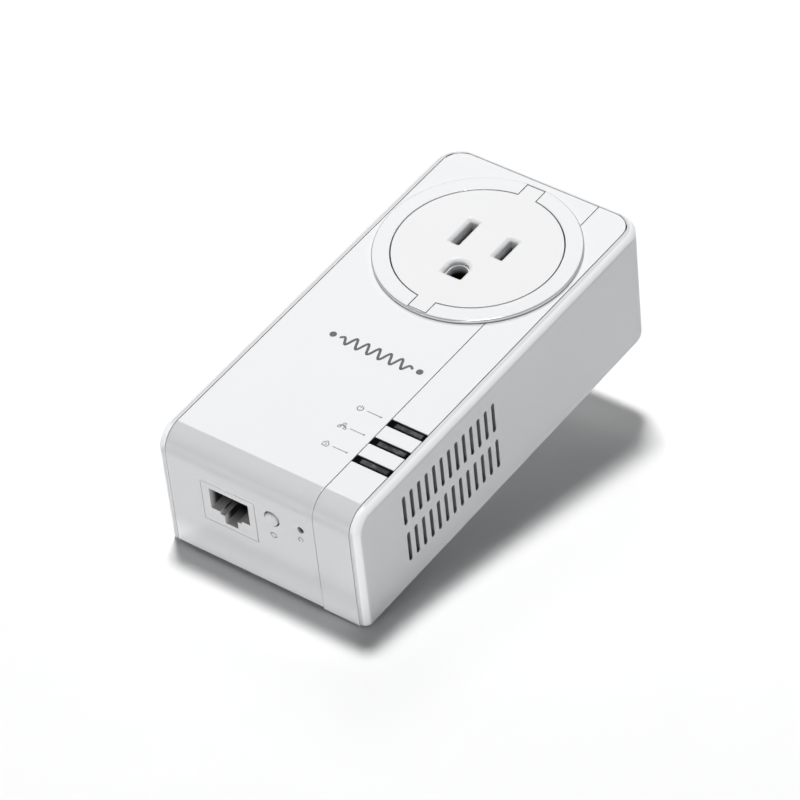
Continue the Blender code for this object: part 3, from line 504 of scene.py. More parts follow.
def case_surface():
    """The tub: a painted highlight along its edges, and painted shade inside behind the vents and the seams.
    """
    made = surface("case_white", CASE_TONES, (0.34, 0.42), 0.12, 3.0)
    tree = made.node_tree
    corners_low = (-HALF_WIDTH - CLEAR, HALF_LENGTH - FAR_CORNER_RADIUS - CLEAR, BACK_EDGE_RADIUS)
    corners_high = (HALF_WIDTH + CLEAR, HALF_LENGTH + CLEAR, FRONT_Z - EDGE_RADIUS)
    elsewhere = calculated(tree, "SUBTRACT", 1.0, inside_box(tree, corners_low, corners_high, 0.3))
    # Painted highlight: the edges turn paler, except near the far end's corners.
    tinted(made, calculated(tree, "MULTIPLY", on_edges(tree), elsewhere), EDGE_PAINTED_HIGHLIGHT)
    near_y, far_y, low_z = PORT_Y + 5, HALF_LENGTH - 9, 3
    vent_x, vent_top = HALF_WIDTH - VENT_LIP, FRONT_Z - 3.8
    low, high = (-vent_x, near_y, low_z), (vent_x, far_y, vent_top)
    # Painted shade inside, behind the vents.
    tinted(made, inside_box(tree, low, high, 0.3), VENT_SHADE)
    # Painted shade inside, where the seams show.
    seam_x, seam_top = TUB_OPENING_X + 0.3, FRONT_Z - 0.45
    low, high = (-seam_x, near_y, low_z), (seam_x, far_y, seam_top)
    return tinted(made, inside_box(tree, low, high, 0.25), SEAM_SHADE)


def panel_surface():
    """The front panels: glossier than the tub, with painted light towards the foot and painted shade inside
    the seams.
    """
    made = surface("panel_white", CASE_TONES, (0.08, 0.11), 0.15, 1.0, specular=0.95)
    tree = made.node_tree
    wide = HALF_WIDTH + CLEAR
    pale_height = 11
    low, high = (-2 * wide, PORT_Y - wide, -wide), (2 * wide, PORT_Y + wide, pale_height)
    # Painted light: paler towards the foot of the port end.
    tinted(made, inside_box(tree, low, high, pale_height), FOOT_PAINTED_LIGHT)
    near_y, far_y = PORT_Y - CLEAR, PORT_Y + CLEAR
    # Painted highlight: a pale line along the foot.
    foot, foot_soft = 0.6, 0.1
    low, high = (-wide, near_y, -CLEAR), (STRIP_X, far_y, COVER_FOOT_Z + foot)
    tinted(made, inside_box(tree, low, high, foot_soft), PAINTED_LIGHT)
    low, high = (STRIP_X, near_y, -CLEAR), (wide, far_y, foot)
    tinted(made, inside_box(tree, low, high, foot_soft), PAINTED_LIGHT)
    # Painted shade inside the seams and on the walls of the port end's openings.
    seam_depth, seam_soft, seam_foot = 0.4, 0.2, 1
    low, high = (-wide, BEND_Y, 0), (wide, COVER_FAR_Y + CLEAR, FRONT_Z - seam_depth)
    tinted(made, inside_box(tree, low, high, seam_soft), SEAM_SHADE)
    low, high = (-wide, PORT_Y + seam_depth, seam_foot), (wide, BEND_Y + CLEAR, BEND_Z)
    return tinted(made, inside_box(tree, low, high, seam_soft), PORT_SEAM_SHADE)


def ring_surface():
    """The raised ring: painted shade makes its rounded edge darker than its top and its side; painted light
    makes its side paler.
    """
    made = surface("ring_white", CASE_TONES, (0.12, 0.16), 0.15, 1.0, specular=0.95)
    tree = made.node_tree
    # Painted shade on the rounded edge, then painted light on the side.
    tinted(made, turned_from(tree, "Z", 0.98, 0.92), RING_EDGE_PAINTED_SHADE)
    return tinted(made, turned_from(tree, "Z", 0.5, 0.3), RING_SIDE_PAINTED_LIGHT)


def outlet_surface():
    """The outlet's face, with painted light in the mouths of its openings and painted shade further down."""
    made = surface("outlet_white", ((0.73, 0.73, 0.735), (0.75, 0.75, 0.755)), (0.3, 0.4), 0.1, 4.0)
    tree = made.node_tree
    half_x, near_y, far_y, low_z = 10, BLADE_Y - 18, BLADE_Y + 8, 5
    low, high = (-half_x, near_y, low_z), (half_x, far_y, OUTLET_Z)
    # Painted light in the mouths of the openings.
    tinted(made, inside_box(tree, low, high, 0.8), PAINTED_LIGHT)
    # Painted shade further down.
    high = (half_x, far_y, OUTLET_Z - DISC_SHEET)
    return tinted(made, inside_box(tree, low, high, 2.6), PAINTED_SHADE)


def port_surface():
    """The jack and the button: painted light where they face up, and painted shade inside the cavity and the
    panel.
    """
    made = surface("port_white", ((0.64, 0.64, 0.645), (0.67, 0.67, 0.675)), (0.38, 0.48), 0.12, 3.0)
    tree = made.node_tree
    face_depth, wall_soft, cavity_soft = 0.4, 2.2, 6.5
    low, high = (-HALF_WIDTH, PORT_Y + face_depth, 0), (HALF_WIDTH, 0, FRONT_Z)
    # Painted light where the surface faces up, and painted shade inside: quickly on the walls, more slowly
    # elsewhere.
    walls = turned_from(tree, "Z", 0.7, 0.3)
    tinted(made, calculated(tree, "SUBTRACT", 1.0, walls), PAINTED_LIGHT)
    tinted(made, calculated(tree, "MULTIPLY", walls, inside_box(tree, low, high, wall_soft)), PAINTED_SHADE)
    return tinted(made, inside_box(tree, low, high, cavity_soft), PAINTED_SHADE)


def window_surface():
    """Smoked plastic with a painted sheen: a lighter, mottled patch in the middle of each bar."""
    tones = ((0.003, 0.003, 0.0035), (0.005, 0.005, 0.0055))
    made = surface("smoked_window", tones, (0.3, 0.4), 0.25, 2.0, specular=0.0)
    tree = made.node_tree
    left_part, right_part, end_part = 0.16, 0.06, 0.12
    patch = None
    for light in LIGHTS:
        low, high = node_box(light + "_window")
        length, width = high.x - low.x, high.y - low.y
        patch_low = (low.x + left_part * length, low.y + end_part * width, low.z)
        patch_high = (high.x - right_part * length, high.y - end_part * width, high.z + 5)
        inside = inside_box(tree, patch_low, patch_high, 0.8)
        patch = calculated(tree, "MAXIMUM", patch, inside) if patch else inside
    # The painted sheen is mottled by a fine grain and by broad clouds.
    grain_size, cloud_size = 0.45, 2.5
    grain = texture_nodes(tree, 1 / (grain_size * MM), 2.0)
    cloud = texture_nodes(tree, 1 / (cloud_size * MM), 1.0)
    amount = calculated(tree, "MULTIPLY", spread(tree, grain.outputs["Fac"], 0.25, 1.0),
                        spread(tree, cloud.outputs["Fac"], 0.2, 1.0))
    return tinted(made, calculated(tree, "MULTIPLY", patch, amount), PAINTED_SHEEN)


SURFACES = {
    "white_plastic": case_surface(),
    "panel_plastic": panel_surface(),
    "outlet_plastic": outlet_surface(),
    "port_plastic": port_surface(),
    "window_plastic": window_surface(),
    "clear_plastic": surface(
        "guide_clear", ((0.9, 0.93, 0.94), (0.95, 0.96, 0.97)), (0.05, 0.15), 0.5, 1.0, transmission=0.9),
    "led_resin": surface("led_resin", ((0.88, 0.84, 0.5), (0.92, 0.88, 0.58)), (0.2, 0.35), 0.3, 2.0),
    "black_plastic": surface(
        "chip_black", ((0.018, 0.018, 0.019), (0.026, 0.026, 0.028)), (0.45, 0.65), 0.1, 6.0),
    "grey_plastic": surface(
        "grey_plastic", ((0.32, 0.33, 0.35), (0.38, 0.39, 0.41)), (0.4, 0.6), 0.15, 5.0),
    "board_green": surface(
        "board_green", ((0.015, 0.11, 0.045), (0.03, 0.17, 0.075)), (0.3, 0.5), 0.6, 8.0, patch=900.0),
    "ferrite": surface("ferrite", ((0.04, 0.04, 0.045), (0.065, 0.065, 0.07)), (0.55, 0.8), 0.2, 12.0),
    "winding_tape": surface("winding_tape", ((0.72, 0.52, 0.06), (0.8, 0.6, 0.1)), (0.3, 0.5), 0.8, 15.0),
    "capacitor_sleeve": surface(
        "capacitor_sleeve", ((0.02, 0.06, 0.2), (0.035, 0.09, 0.28)), (0.25, 0.4), 0.6, 5.0),
    "fuse_glass": surface(
        "fuse_glass", ((0.85, 0.88, 0.88), (0.9, 0.92, 0.92)), (0.03, 0.08), 0.6, 1.0, transmission=0.8),
    "nickel": surface(
        "nickel_plate", ((0.7, 0.68, 0.63), (0.76, 0.74, 0.69)), (0.16, 0.3), 0.25, 2.0, metallic=1.0),
    # A dark brass: painted shade for the contacts that sit deep in the outlet.
    "brass": surface(
        "contact_brass_painted_shade", ((0.2, 0.15, 0.08), (0.25, 0.19, 0.1)), (0.3, 0.48), 0.25, 3.0, metallic=1.0),
    "gold_contacts": surface(
        "gold_wire", ((0.84, 0.6, 0.2), (0.9, 0.67, 0.27)), (0.15, 0.3), 0.2, 2.0, metallic=1.0),
    "screw_steel": surface(
        "screw_steel", ((0.42, 0.42, 0.44), (0.5, 0.5, 0.52)), (0.25, 0.45), 0.2, 5.0, metallic=1.0),
    "aluminium": surface(
        "aluminium", ((0.72, 0.73, 0.75), (0.78, 0.79, 0.81)), (0.3, 0.5), 0.3, 5.0, metallic=1.0),
    "live_wire": surface("live_wire", ((0.16, 0.06, 0.025), (0.2, 0.08, 0.035)), (0.4, 0.55), 0.3, 5.0),
    "neutral_wire": surface(
        "neutral_wire", ((0.76, 0.76, 0.74), (0.82, 0.82, 0.8)), (0.4, 0.55), 0.3, 5.0),
    "ground_wire": surface("ground_wire", ((0.04, 0.26, 0.06), (0.06, 0.33, 0.09)), (0.4, 0.55), 0.3, 5.0),
    "label_paper": surface("label_film", ((0.76, 0.77, 0.78), (0.8, 0.81, 0.82)), (0.4, 0.55), 0.2, 3.0),
}
RING_WHITE = ring_surface()
INK_DARK = surface("ink_dark", ((0.075, 0.075, 0.078), (0.09, 0.09, 0.094)), (0.4, 0.6), 0.15, 2.0)
INK_GREY = surface("ink_grey", ((0.2, 0.2, 0.205), (0.24, 0.24, 0.245)), (0.4, 0.6), 0.15, 2.0)


# ------------ pieces

WELD = 2e-4
CREASE = math.radians(35)


def piece(name, shape, slot, body="adapter", replaces=(), bevel=0.0, segments=3, material=None, flat=False):
    """A shape in millimetres as a named piece that rides on a body, in metres."""
    bmesh.ops.remove_doubles(shape, verts=shape.verts, dist=WELD)
    bmesh.ops.scale(shape, verts=shape.verts, vec=(MM, MM, MM))
    mesh = mesh_of(shape, name)
    mesh.materials.append(material or SURFACES[slot])
    mesh.shade_smooth()
    made = placed(name, mesh)
    if bevel:
        modifier = made.modifiers.new("Bevel", "BEVEL")
        modifier.width = bevel * MM
        modifier.segments = segments
        modifier.limit_method = "ANGLE"
        modifier.angle_limit = CREASE
        modifier.use_clamp_overlap = False
        modifier.miter_outer = "MITER_ARC"
    if flat:
        mesh.set_sharp_from_angle(angle=CREASE)
    normals = made.modifiers.new("Normals", "WEIGHTED_NORMAL")
    normals.weight = 60
    normals.keep_sharp = True
    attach(made, body)
    if replaces:
        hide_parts(*replaces)
    return made


def body_rings(corner_steps=12, far_steps=28, edge_steps=12):
    """Level outlines of the whole outer body, rounded along every edge of its sides."""
    core_x = HALF_WIDTH - EDGE_RADIUS
    bend_core = BEND_RADIUS - EDGE_RADIUS
    rim_z = FRONT_Z - EDGE_RADIUS
    far_centre = (HALF_WIDTH - FAR_CORNER_RADIUS, HALF_LENGTH - FAR_CORNER_RADIUS)
    turns = [math.radians(90 * i / edge_steps) for i in range(edge_steps + 1)]
    levels = [(BACK_EDGE_RADIUS * (1 - math.cos(turn)), BACK_EDGE_RADIUS * (1 - math.sin(turn)))
              for turn in turns]
    levels += [(BEND_Z + bend_core * math.sin(turn), 0.0) for turn in turns]
    levels += [(rim_z + EDGE_RADIUS * math.sin(turn), 0.0) for turn in turns[1:]]
    rings = []
    for z, inset in levels:
        rise = max(z - rim_z, 0.0)
        drop = max(z - BEND_Z, 0.0)
        edge = EDGE_RADIUS - inset
        reach = math.sqrt(max(EDGE_RADIUS ** 2 - rise ** 2, 0.0)) - inset
        widest = math.acos(min(rise / EDGE_RADIUS, 1.0))
        right = []
        for i in range(corner_steps + 1):
            turn = widest * i / corner_steps
            radius = bend_core + edge * math.cos(turn)
            near_y = BEND_Y - math.sqrt(max(radius ** 2 - drop ** 2, 0.0))
            right.append((core_x + edge * math.sin(turn), near_y))
        right += arc(far_centre, FAR_CORNER_RADIUS - EDGE_RADIUS + reach, 0, 90, far_steps)
        left = [(-x, y) for x, y in reversed(right)]
        rings.append([Vector((x, y, z)) for x, y in right + left])
    return rings


def screw_cylinders(radius, low, high, steps=32):
    return [cylinder(place, radius, "z", low, high, steps) for place in SCREW_PLACES]


def vent_outline(y, low_z, high_z):
    """A slot with round ends, as a function of its growth."""
    def outline(growth):
        radius = VENT_WIDTH / 2 + growth
        top, foot = high_z - VENT_WIDTH / 2, low_z + VENT_WIDTH / 2
        return arc((y, top), radius, 0, 180, 12) + arc((y, foot), radius, 180, 360, 12)
    return outline


def vent_cutters():
    """Slots through both side walls, with a thin lip outside and wider behind it."""
    wider = 0.5
    depths = ((-CLEAR, 0.0), (VENT_LIP, 0.0), (VENT_LIP + wider, wider), (2 * SHEET, wider))
    cutters = []
    for low_z, high_z, first_y in VENT_ROWS:
        for i in range(VENT_COUNT):
            outline = vent_outline(first_y + i * VENT_PITCH, low_z, high_z)
            for side in (-1, 1):
                levels = [(side * (HALF_WIDTH - depth), growth) for depth, growth in depths]
                cutters.append(grown_prism(outline, "x", levels))
    return cutters


def make_housing():
    """The tub: open in front and at the port end, with vents, screw bosses and recesses in its back."""
    shape = skin(body_rings())
    bmesh.ops.remove_doubles(shape, verts=shape.verts, dist=WELD / 2)
    opening = far_rounded_outline(TUB_OPENING_X, TUB_OPENING_Y, TUB_CORNER_RADIUS)
    shape = cut(shape, prism(opening, "z", SHEET, FRONT_Z + FAR_CLEAR))
    port_low = (-TUB_OPENING_X, PORT_Y - FAR_CLEAR, -CLEAR)
    port_high = (TUB_OPENING_X, PORT_Y + SHEET + GAP, SHEET + CLEAR)
    shape = cut(shape, box(port_low, port_high))
    shape = cut(shape, *vent_cutters())

    boss_radius, boss_top = 3.5, 8.0
    head_hole_radius, head_hole_top = 2.8, 5.5
    shank_hole_radius, shank_hole_top = 1.6, 9.0
    shape = joined(shape, *screw_cylinders(boss_radius, SHEET / 2, boss_top))
    shape = cut(shape, *screw_cylinders(head_hole_radius, -CLEAR, head_hole_top))
    shape = cut(shape, *screw_cylinders(shank_hole_radius, -CLEAR, shank_hole_top))

    plug_low, plug_high = node_box("plug_base")
    face_low = (plug_low.x + PLUG_RIM - GAP, plug_low.y + PLUG_RIM - GAP)
    face_high = (plug_high.x - PLUG_RIM + GAP, plug_high.y - PLUG_RIM + GAP)
    face_outline = rounded_rectangle(face_low, face_high, PLUG_CORNER + GAP)
    label_low, label_high = node_box("rating_label")
    recess_low = (label_low.x - GAP, label_low.y - GAP)
    recess_high = (label_high.x + GAP, label_high.y + GAP)
    recess_outline = rounded_rectangle(recess_low, recess_high, LABEL_CORNER + GAP)
    label_recess = 0.5
    shape = cut(shape, prism(face_outline, "z", -CLEAR, SHEET + CLEAR),
                prism(recess_outline, "z", -CLEAR, label_recess))
    piece("housing_shell", shape, "white_plastic", replaces=["rear_housing"], bevel=0.15)


def cover_limit(low_x, high_x):
    """The space between two X values that the front panels may fill, with its round far corners."""
    outline = far_rounded_outline(COVER_X, COVER_FAR_Y, COVER_CORNER_RADIUS)
    limit = prism(outline, "z", -FAR_CLEAR, FRONT_Z + FAR_CLEAR)
    reach = 2 * FAR_CLEAR
    window = box((low_x, PORT_Y - reach, -reach), (high_x, HALF_LENGTH + reach, FRONT_Z + reach))
    return combined(limit, window, "INTERSECT")


def ring_hole():
    """The hole through the front panels for the ring's sleeve."""
    radius = RING_SLEEVE_RADIUS + GAP
    return cylinder((0.0, OUTLET_Y), radius, "z", RING_LOW_Z - 3, FRONT_Z + 2, 128)


def make_front_panel():
    """The wide panel, with a lower step that runs on under the light strip."""
    step_sheet, step_overlap = 1.4, 2
    edge = STRIP_SEAM_X - SEAM_SHOWN / 2
    sheet = prism(bent_sheet_outline(COVER_FOOT_Z, 0.0, SHEET), "x", -HALF_WIDTH, edge)
    step_outline = bent_sheet_outline(SHEET + GAP, STRIP_SHEET + GAP, step_sheet)
    step = prism(step_outline, "x", edge - step_overlap, HALF_WIDTH)
    shape = combined(joined(sheet, step), cover_limit(-COVER_X, COVER_X), "INTERSECT")
    wall = (PORT_Y - CLEAR, PORT_Y + SHEET + CLEAR)
    side_gap, end_gap = 0.15, 0.07
    jack_low = (JACK_LOW.x - side_gap, wall[0], JACK_LOW.z - end_gap)
    jack_high = (JACK_HIGH.x + side_gap, wall[1], JACK_HIGH.z + end_gap)
    shape = cut(shape, ring_hole(), box(jack_low, jack_high),
                cylinder((SYNC_X, SYNC_Z), SYNC_HOLE_RADIUS, "y", *wall),
                cylinder((RESET_X, RESET_Z), RESET_HOLE_RADIUS, "y", *wall, 40))
    piece("front_panel", shape, "panel_plastic", replaces=["front_cover"], bevel=0.14)


def make_strip_panel():
    """The narrow panel beside it, with a groove for each light bar."""
    low_x = STRIP_SEAM_X + SEAM_SHOWN / 2
    shape = prism(bent_sheet_outline(0.0, 0.0, STRIP_SHEET), "x", low_x, HALF_WIDTH)
    shape = combined(shape, cover_limit(STRIP_X - CLEAR, COVER_X), "INTERSECT")
    grooves = []
    for light in LIGHTS:
        low, high = node_box(light + "_window")
        groove_low = (STRIP_X - CLEAR, low.y - GROOVE_MARGIN, FRONT_Z - GROOVE_DEPTH)
        groove_high = (COVER_X + CLEAR, high.y + GROOVE_MARGIN, FRONT_Z + CLEAR)
        grooves.append(box(groove_low, groove_high))
    shape = cut(shape, ring_hole(), *grooves)
    piece("strip_panel", shape, "panel_plastic", replaces=["led_strip_cover"], bevel=0.12)


def make_windows():
    """Each bar is flat, sits just below the panel round it, and is rounded at its far left corner."""
    sunk = 0.15
    corner = 0.5
    for light in LIGHTS:
        low, high = node_box(light + "_window")
        outline = arc((low.x + corner, high.y - corner), corner, 90, 180, 6)
        outline += [(low.x, low.y), (high.x, low.y), (high.x, high.y)]
        shape = prism(outline, "z", low.z, high.z - sunk)
        piece(light + "_bar", shape, "window_plastic", replaces=[light + "_window"], bevel=0.06, segments=2)


def make_ring():
    """The raised ring: a sleeve inside the case, a flange on it, and a notch for each tab."""
    bore = DISC_RADIUS + GAP
    outer_round, inner_round, flange_chamfer = 0.4, 0.15, 0.1
    profile = [(bore, RING_LOW_Z), (RING_SLEEVE_RADIUS, RING_LOW_Z), (RING_SLEEVE_RADIUS, RING_FLANGE_Z),
               (RING_RADIUS - flange_chamfer, RING_FLANGE_Z), (RING_RADIUS, RING_FLANGE_Z + flange_chamfer)]
    profile += arc((RING_RADIUS - outer_round, OUTLET_Z - outer_round), outer_round, 0, 90, 8)
    profile += arc((bore + inner_round, OUTLET_Z - inner_round), inner_round, 90, 180, 5)
    ring = turned_ring(profile, (0.0, OUTLET_Y), "z", 192)
    notch_x = TAB_HALF_WIDTH + GAP
    notches = []
    for side in (-1, 1):
        ends = sorted((OUTLET_Y + side * (DISC_RADIUS - 2), OUTLET_Y + side * (TAB_REACH + GAP)))
        notches.append(box((-notch_x, ends[0], FRONT_Z), (notch_x, ends[1], OUTLET_Z + CLEAR)))
    piece("outlet_ring_shell", cut(ring, *notches), "panel_plastic", replaces=["outlet_ring"],
          material=RING_WHITE, flat=True)


def blade_slot(x, length):
    """A slot for a blade, as a function of its growth."""
    half_width, corner = 1.2, 0.2

    def outline(growth):
        rounding = corner + growth * CORNER_GROWTH
        return centred_rectangle((x, BLADE_Y), half_width + growth, length / 2 + growth, rounding)
    return outline


def ground_hole(growth):
    """The ground pin's opening: round towards the blades and flat on its other side."""
    half = 2.7 + growth
    round_y = GROUND_Y + 0.1
    flat_y = GROUND_Y - 2.9 - growth
    corner = 0.35 + growth * CORNER_GROWTH
    return (
        arc((half - corner, flat_y + corner), corner, -90, 0, 6)
        + arc((0.0, round_y), half, 0, 180, 36)
        + arc((corner - half, flat_y + corner), corner, 180, 270, 6)
    )


def make_disc():
    """The outlet's face with its two tabs, a collar behind each opening and a flare at each mouth."""
    disc = cylinder((0.0, OUTLET_Y), DISC_RADIUS, "z", OUTLET_Z - DISC_SHEET, OUTLET_Z, 192)
    tabs = box((-TAB_HALF_WIDTH, OUTLET_Y - TAB_REACH, OUTLET_Z - TAB_SHEET),
               (TAB_HALF_WIDTH, OUTLET_Y + TAB_REACH, OUTLET_Z))
    neutral_length, live_length = 8.9, 7.3
    slots = [blade_slot(-BLADE_X, neutral_length), blade_slot(BLADE_X, live_length)]
    collar_wall, collar_top, ground_collar_radius = 0.7, OUTLET_Z - 1.5, 4.4
    collars = [prism(slot(collar_wall), "z", COLLAR_Z, collar_top) for slot in slots]
    collars.append(cylinder((0.0, GROUND_Y), ground_collar_radius, "z", COLLAR_Z, collar_top))
    shape = joined(disc, tabs, *collars)

    flare, flare_steps, flare_turn = 1.2, 6, 72
    flare_levels = []
    for i in range(flare_steps + 1):
        turn = math.radians(flare_turn * i / flare_steps)
        flare_levels.append((OUTLET_Z - flare * (1 - math.sin(turn)), flare * (1 - math.cos(turn))))
    flare_levels.append((OUTLET_Z + 0.2, flare * 1.35))
    ledge_z, ledge = OUTLET_Z - 1.7, 0.28
    slot_levels = [(COLLAR_Z - CLEAR, 0.0), *flare_levels]
    ground_levels = [(COLLAR_Z - CLEAR, -ledge), (ledge_z, -ledge), (ledge_z + 0.1, 0.0), *flare_levels]
    shape = cut(shape, *[grown_prism(slot, "z", slot_levels) for slot in slots],
                grown_prism(ground_hole, "z", ground_levels))
    piece("socket_disc", shape, "outlet_plastic", replaces=["socket_face"], bevel=0.08, segments=2)


def make_jack():
    """The jack's body with its stepped cavity, and the eight sprung wires under the cavity's top."""
    left, right = [], []
    level = CAVITY_TOP
    for half, floor_z in CAVITY_STEPS:
        right += [(JACK_CENTRE_X + half, level), (JACK_CENTRE_X + half, floor_z)]
        left += [(JACK_CENTRE_X - half, level), (JACK_CENTRE_X - half, floor_z)]
        level = floor_z
    cavity = prism(right + left[::-1], "y", PORT_Y - CLEAR, PORT_Y + CAVITY_DEPTH)
    shape = cut(box(JACK_LOW, JACK_HIGH), cavity)
    piece("jack_shell", shape, "port_plastic", replaces=["ethernet_jack"], bevel=0.1, segments=2)

    wire_count, wire_pitch, wire_radius, wire_sides = 8, 1.02, 0.2, 12
    near_y = PORT_Y + 1.4
    far_y = PORT_Y + CAVITY_DEPTH - GAP
    top = CAVITY_TOP - GAP
    path = [(near_y, top - wire_radius), (near_y + 2.2, top - wire_radius - 0.05),
            (far_y - 1.5, top - 1.25), (far_y - 0.4, top - 1.5), (far_y - 0.1, top - 1.75)]
    wires = []
    for i in range(wire_count):
        x = JACK_CENTRE_X + (i - (wire_count - 1) / 2) * wire_pitch
        wires.append(skin([[to_space(point, "y", y) for point in circle((x, z), wire_radius, wire_sides)]
                           for y, z in path]))
    piece("jack_wires", merged(wires), "gold_contacts", replaces=["jack_contacts"], flat=True)


def make_sync_button():
    """A domed cap with a flange behind the panel and a stem down to the switch."""
    low, high = node_box("sync_button")
    face_y = low.y
    cap_radius, cap_round, cap_steps = 1.9, 0.5, 9
    stem_radius, flange_radius, flange_sheet = 1.2, 2.8, 0.7
    flange_y = PORT_Y + SHEET + GAP
    profile = [(0, face_y + 0.12), (0.7, face_y + 0.1), (1.1, face_y + 0.03)]
    for i in range(cap_steps + 1):
        turn = math.radians(90 * i / cap_steps)
        profile.append((cap_radius - cap_round + cap_round * math.sin(turn),
                        face_y + cap_round * (1 - math.cos(turn))))
    profile += [(cap_radius, flange_y), (flange_radius, flange_y), (flange_radius, flange_y + flange_sheet),
                (stem_radius, flange_y + flange_sheet), (stem_radius, high.y), (0, high.y)]
    shape = turned(profile, (SYNC_X, SYNC_Z), "y")
    piece("sync_cap", shape, "port_plastic", body="sync_button", replaces=["sync_button"], flat=True)


def make_blade(node):
    """A blade with a sloped tip and a round hole near it."""
    low, high = node_box(node)
    middle = (high.y + low.y) / 2
    half = (high.y - low.y) / 2
    tip_slope = 1.4
    outline = [(middle - half + tip_slope, low.z), (middle + half - tip_slope, low.z),
               (middle + half, low.z + tip_slope), (middle + half, high.z),
               (middle - half, high.z), (middle - half, low.z + tip_slope)]
    hole_z, hole_radius = -11.7, 1.75
    hole = cylinder((middle, hole_z), hole_radius, "x", low.x - CLEAR, high.x + CLEAR, 36)
    shape = cut(prism(outline, "x", low.x, high.x), hole)
    piece(node.replace("plug_", "") + "_pin", shape, "nickel", replaces=[node], bevel=0.12)


def make_plug():
    """The plug's face with its flange, the two blades and the round-ended ground pin."""
    low, high = node_box("plug_base")
    face_low = (low.x + PLUG_RIM, low.y + PLUG_RIM)
    face_high = (high.x - PLUG_RIM, high.y - PLUG_RIM)
    flange_z, flange_sheet = SHEET + GAP, 1.5
    shape = prism(rounded_rectangle(face_low, face_high, PLUG_CORNER), "z", 0.0, high.z)
    shape = joined(shape, prism(rectangle(low, high), "z", flange_z, flange_z + flange_sheet))
    holes = []
    for node in ("plug_blade_neutral", "plug_blade_live"):
        blade_low, blade_high = node_box(node)
        outline = rounded_rectangle((blade_low.x - GAP, blade_low.y - GAP),
                                    (blade_high.x + GAP, blade_high.y + GAP), 0.3)
        holes.append(prism(outline, "z", -CLEAR, high.z + CLEAR))
        make_blade(node)
    pin_low, pin_high = node_box("plug_ground_pin")
    radius = (pin_high.x - pin_low.x) / 2
    holes.append(cylinder((0.0, GROUND_Y), radius + GAP, "z", -CLEAR, high.z + CLEAR))
    piece("plug_face", cut(shape, *holes), "outlet_plastic", replaces=["plug_base"], bevel=0.15)
    profile = [(0, pin_low.z)] + arc((0.0, pin_low.z + radius), radius, -82.5, 0, 11)
    profile += [(radius, pin_high.z), (0, pin_high.z)]
    pin = turned(profile, (0.0, GROUND_Y), "z", 48)
    piece("ground_pin", pin, "nickel", replaces=["plug_ground_pin"], flat=True)


def cross_bar(centre, half_x, half_y):
    """One bar of a cross recess, as a function of its growth."""
    return lambda growth: centred_rectangle(centre, half_x + growth, half_y + growth)


def make_screws():
    """Crosshead screws, recessed in the back of the case."""
    head_top, head_round, shank_radius, shank_end = 5.2, 0.6, 1.3, 1.0
    cross_long, cross_short = 1.35, 0.28
    for i, place in enumerate(SCREW_PLACES):
        node = f"case_screw_{i + 1}"
        low, high = node_box(node)
        radius = (high.x - low.x) / 2
        profile = [(0, low.z), (radius - head_round, low.z)]
        profile += arc((radius - head_round, low.z + head_round), head_round, -75, 0, 5)
        profile += [(radius, head_top), (shank_radius, head_top), (shank_radius, high.z - shank_end),
                    (0, high.z)]
        shape = turned(profile, place, "z", 48)
        levels = ((low.z - 0.5, 0.1), (low.z + 1.3, -0.12))
        for half_x, half_y in ((cross_long, cross_short), (cross_short, cross_long)):
            shape = cut(shape, grown_prism(cross_bar(place, half_x, half_y), "z", levels))
        piece(f"screw_{i + 1}", shape, "screw_steel", replaces=[node], flat=True)


def make_label():
    low, high = node_box("rating_label")
    plate = prism(rounded_rectangle(low, high, LABEL_CORNER), "z", low.z, high.z)
    piece("label_film", plate, "label_paper", replaces=["rating_label"], flat=True)


# ------------ printed marks

INK = 0.02
THIN_LINE = 0.28
THINNER_LINE = 0.8 * THIN_LINE


def ink_on_front(point, lift):
    """A point of a mark on the front, raised by lift."""
    return Vector((point[0], point[1], FRONT_Z + lift))


def ink_on_port(point, lift):
    """A point of a mark on the port end, raised by lift."""
    return Vector((point[0], PORT_Y - lift, point[1]))


def printed_line(points, place=ink_on_front, width=THIN_LINE, closed=False):
    """A flat line of ink as a closed solid, slightly sunk into the surface that it is printed on."""
    rings = []
    for left, right in strip_line(points, width, closed):
        rings.append([place(left, INK), place(right, INK), place(right, -INK), place(left, -INK)])
    return skin(rings, wrap=closed)


def printed_area(outline, place=ink_on_front):
    """A flat area of ink as a closed solid."""
    return skin([[place(point, lift) for point in outline] for lift in (-INK, INK)])


def make_wave_mark():
    """A plain wave that fades at both ends, between two dots."""
    mark_y, half_length, height, waves, steps = -12.2, 11.2, 1.6, 6.5, 208
    dot_x, dot_radius, line_width, fade_rate = 13.2, 0.95, 0.72, 8
    wave = []
    for i in range(steps + 1):
        along = i / steps
        fade = min(1.0, fade_rate * along, fade_rate * (1 - along))
        rise = height * fade * math.sin(2 * math.pi * waves * along)
        wave.append((half_length * (2 * along - 1), mark_y + rise))
    shapes = [printed_line(wave, width=line_width)]
    for side in (-1, 1):
        shapes.append(printed_area(circle((side * dot_x, mark_y), dot_radius, 32)))
    piece("wave_mark", merged(shapes), "black_plastic", material=INK_DARK, flat=True)


def power_symbol(x, y):
    """An open ring with a stroke in its gap."""
    return [printed_line(arc((x, y), 0.8, 120, 420, 24)), printed_line([(x, y + 0.15), (x, y + 1.05)])]


def network_symbol(x, y):
    """One box above a line and two boxes below it."""
    shapes = [printed_line(centred_rectangle((x, y + 0.62), 0.42, 0.3), closed=True)]
    for box_x in (x - 0.8, x + 0.8):
        shapes.append(printed_line(centred_rectangle((box_x, y - 0.6), 0.4, 0.28), closed=True))
        shapes.append(printed_line([(box_x, y - 0.3), (box_x, y)]))
    shapes.append(printed_line([(x - 0.9, y), (x + 0.9, y)]))
    return shapes


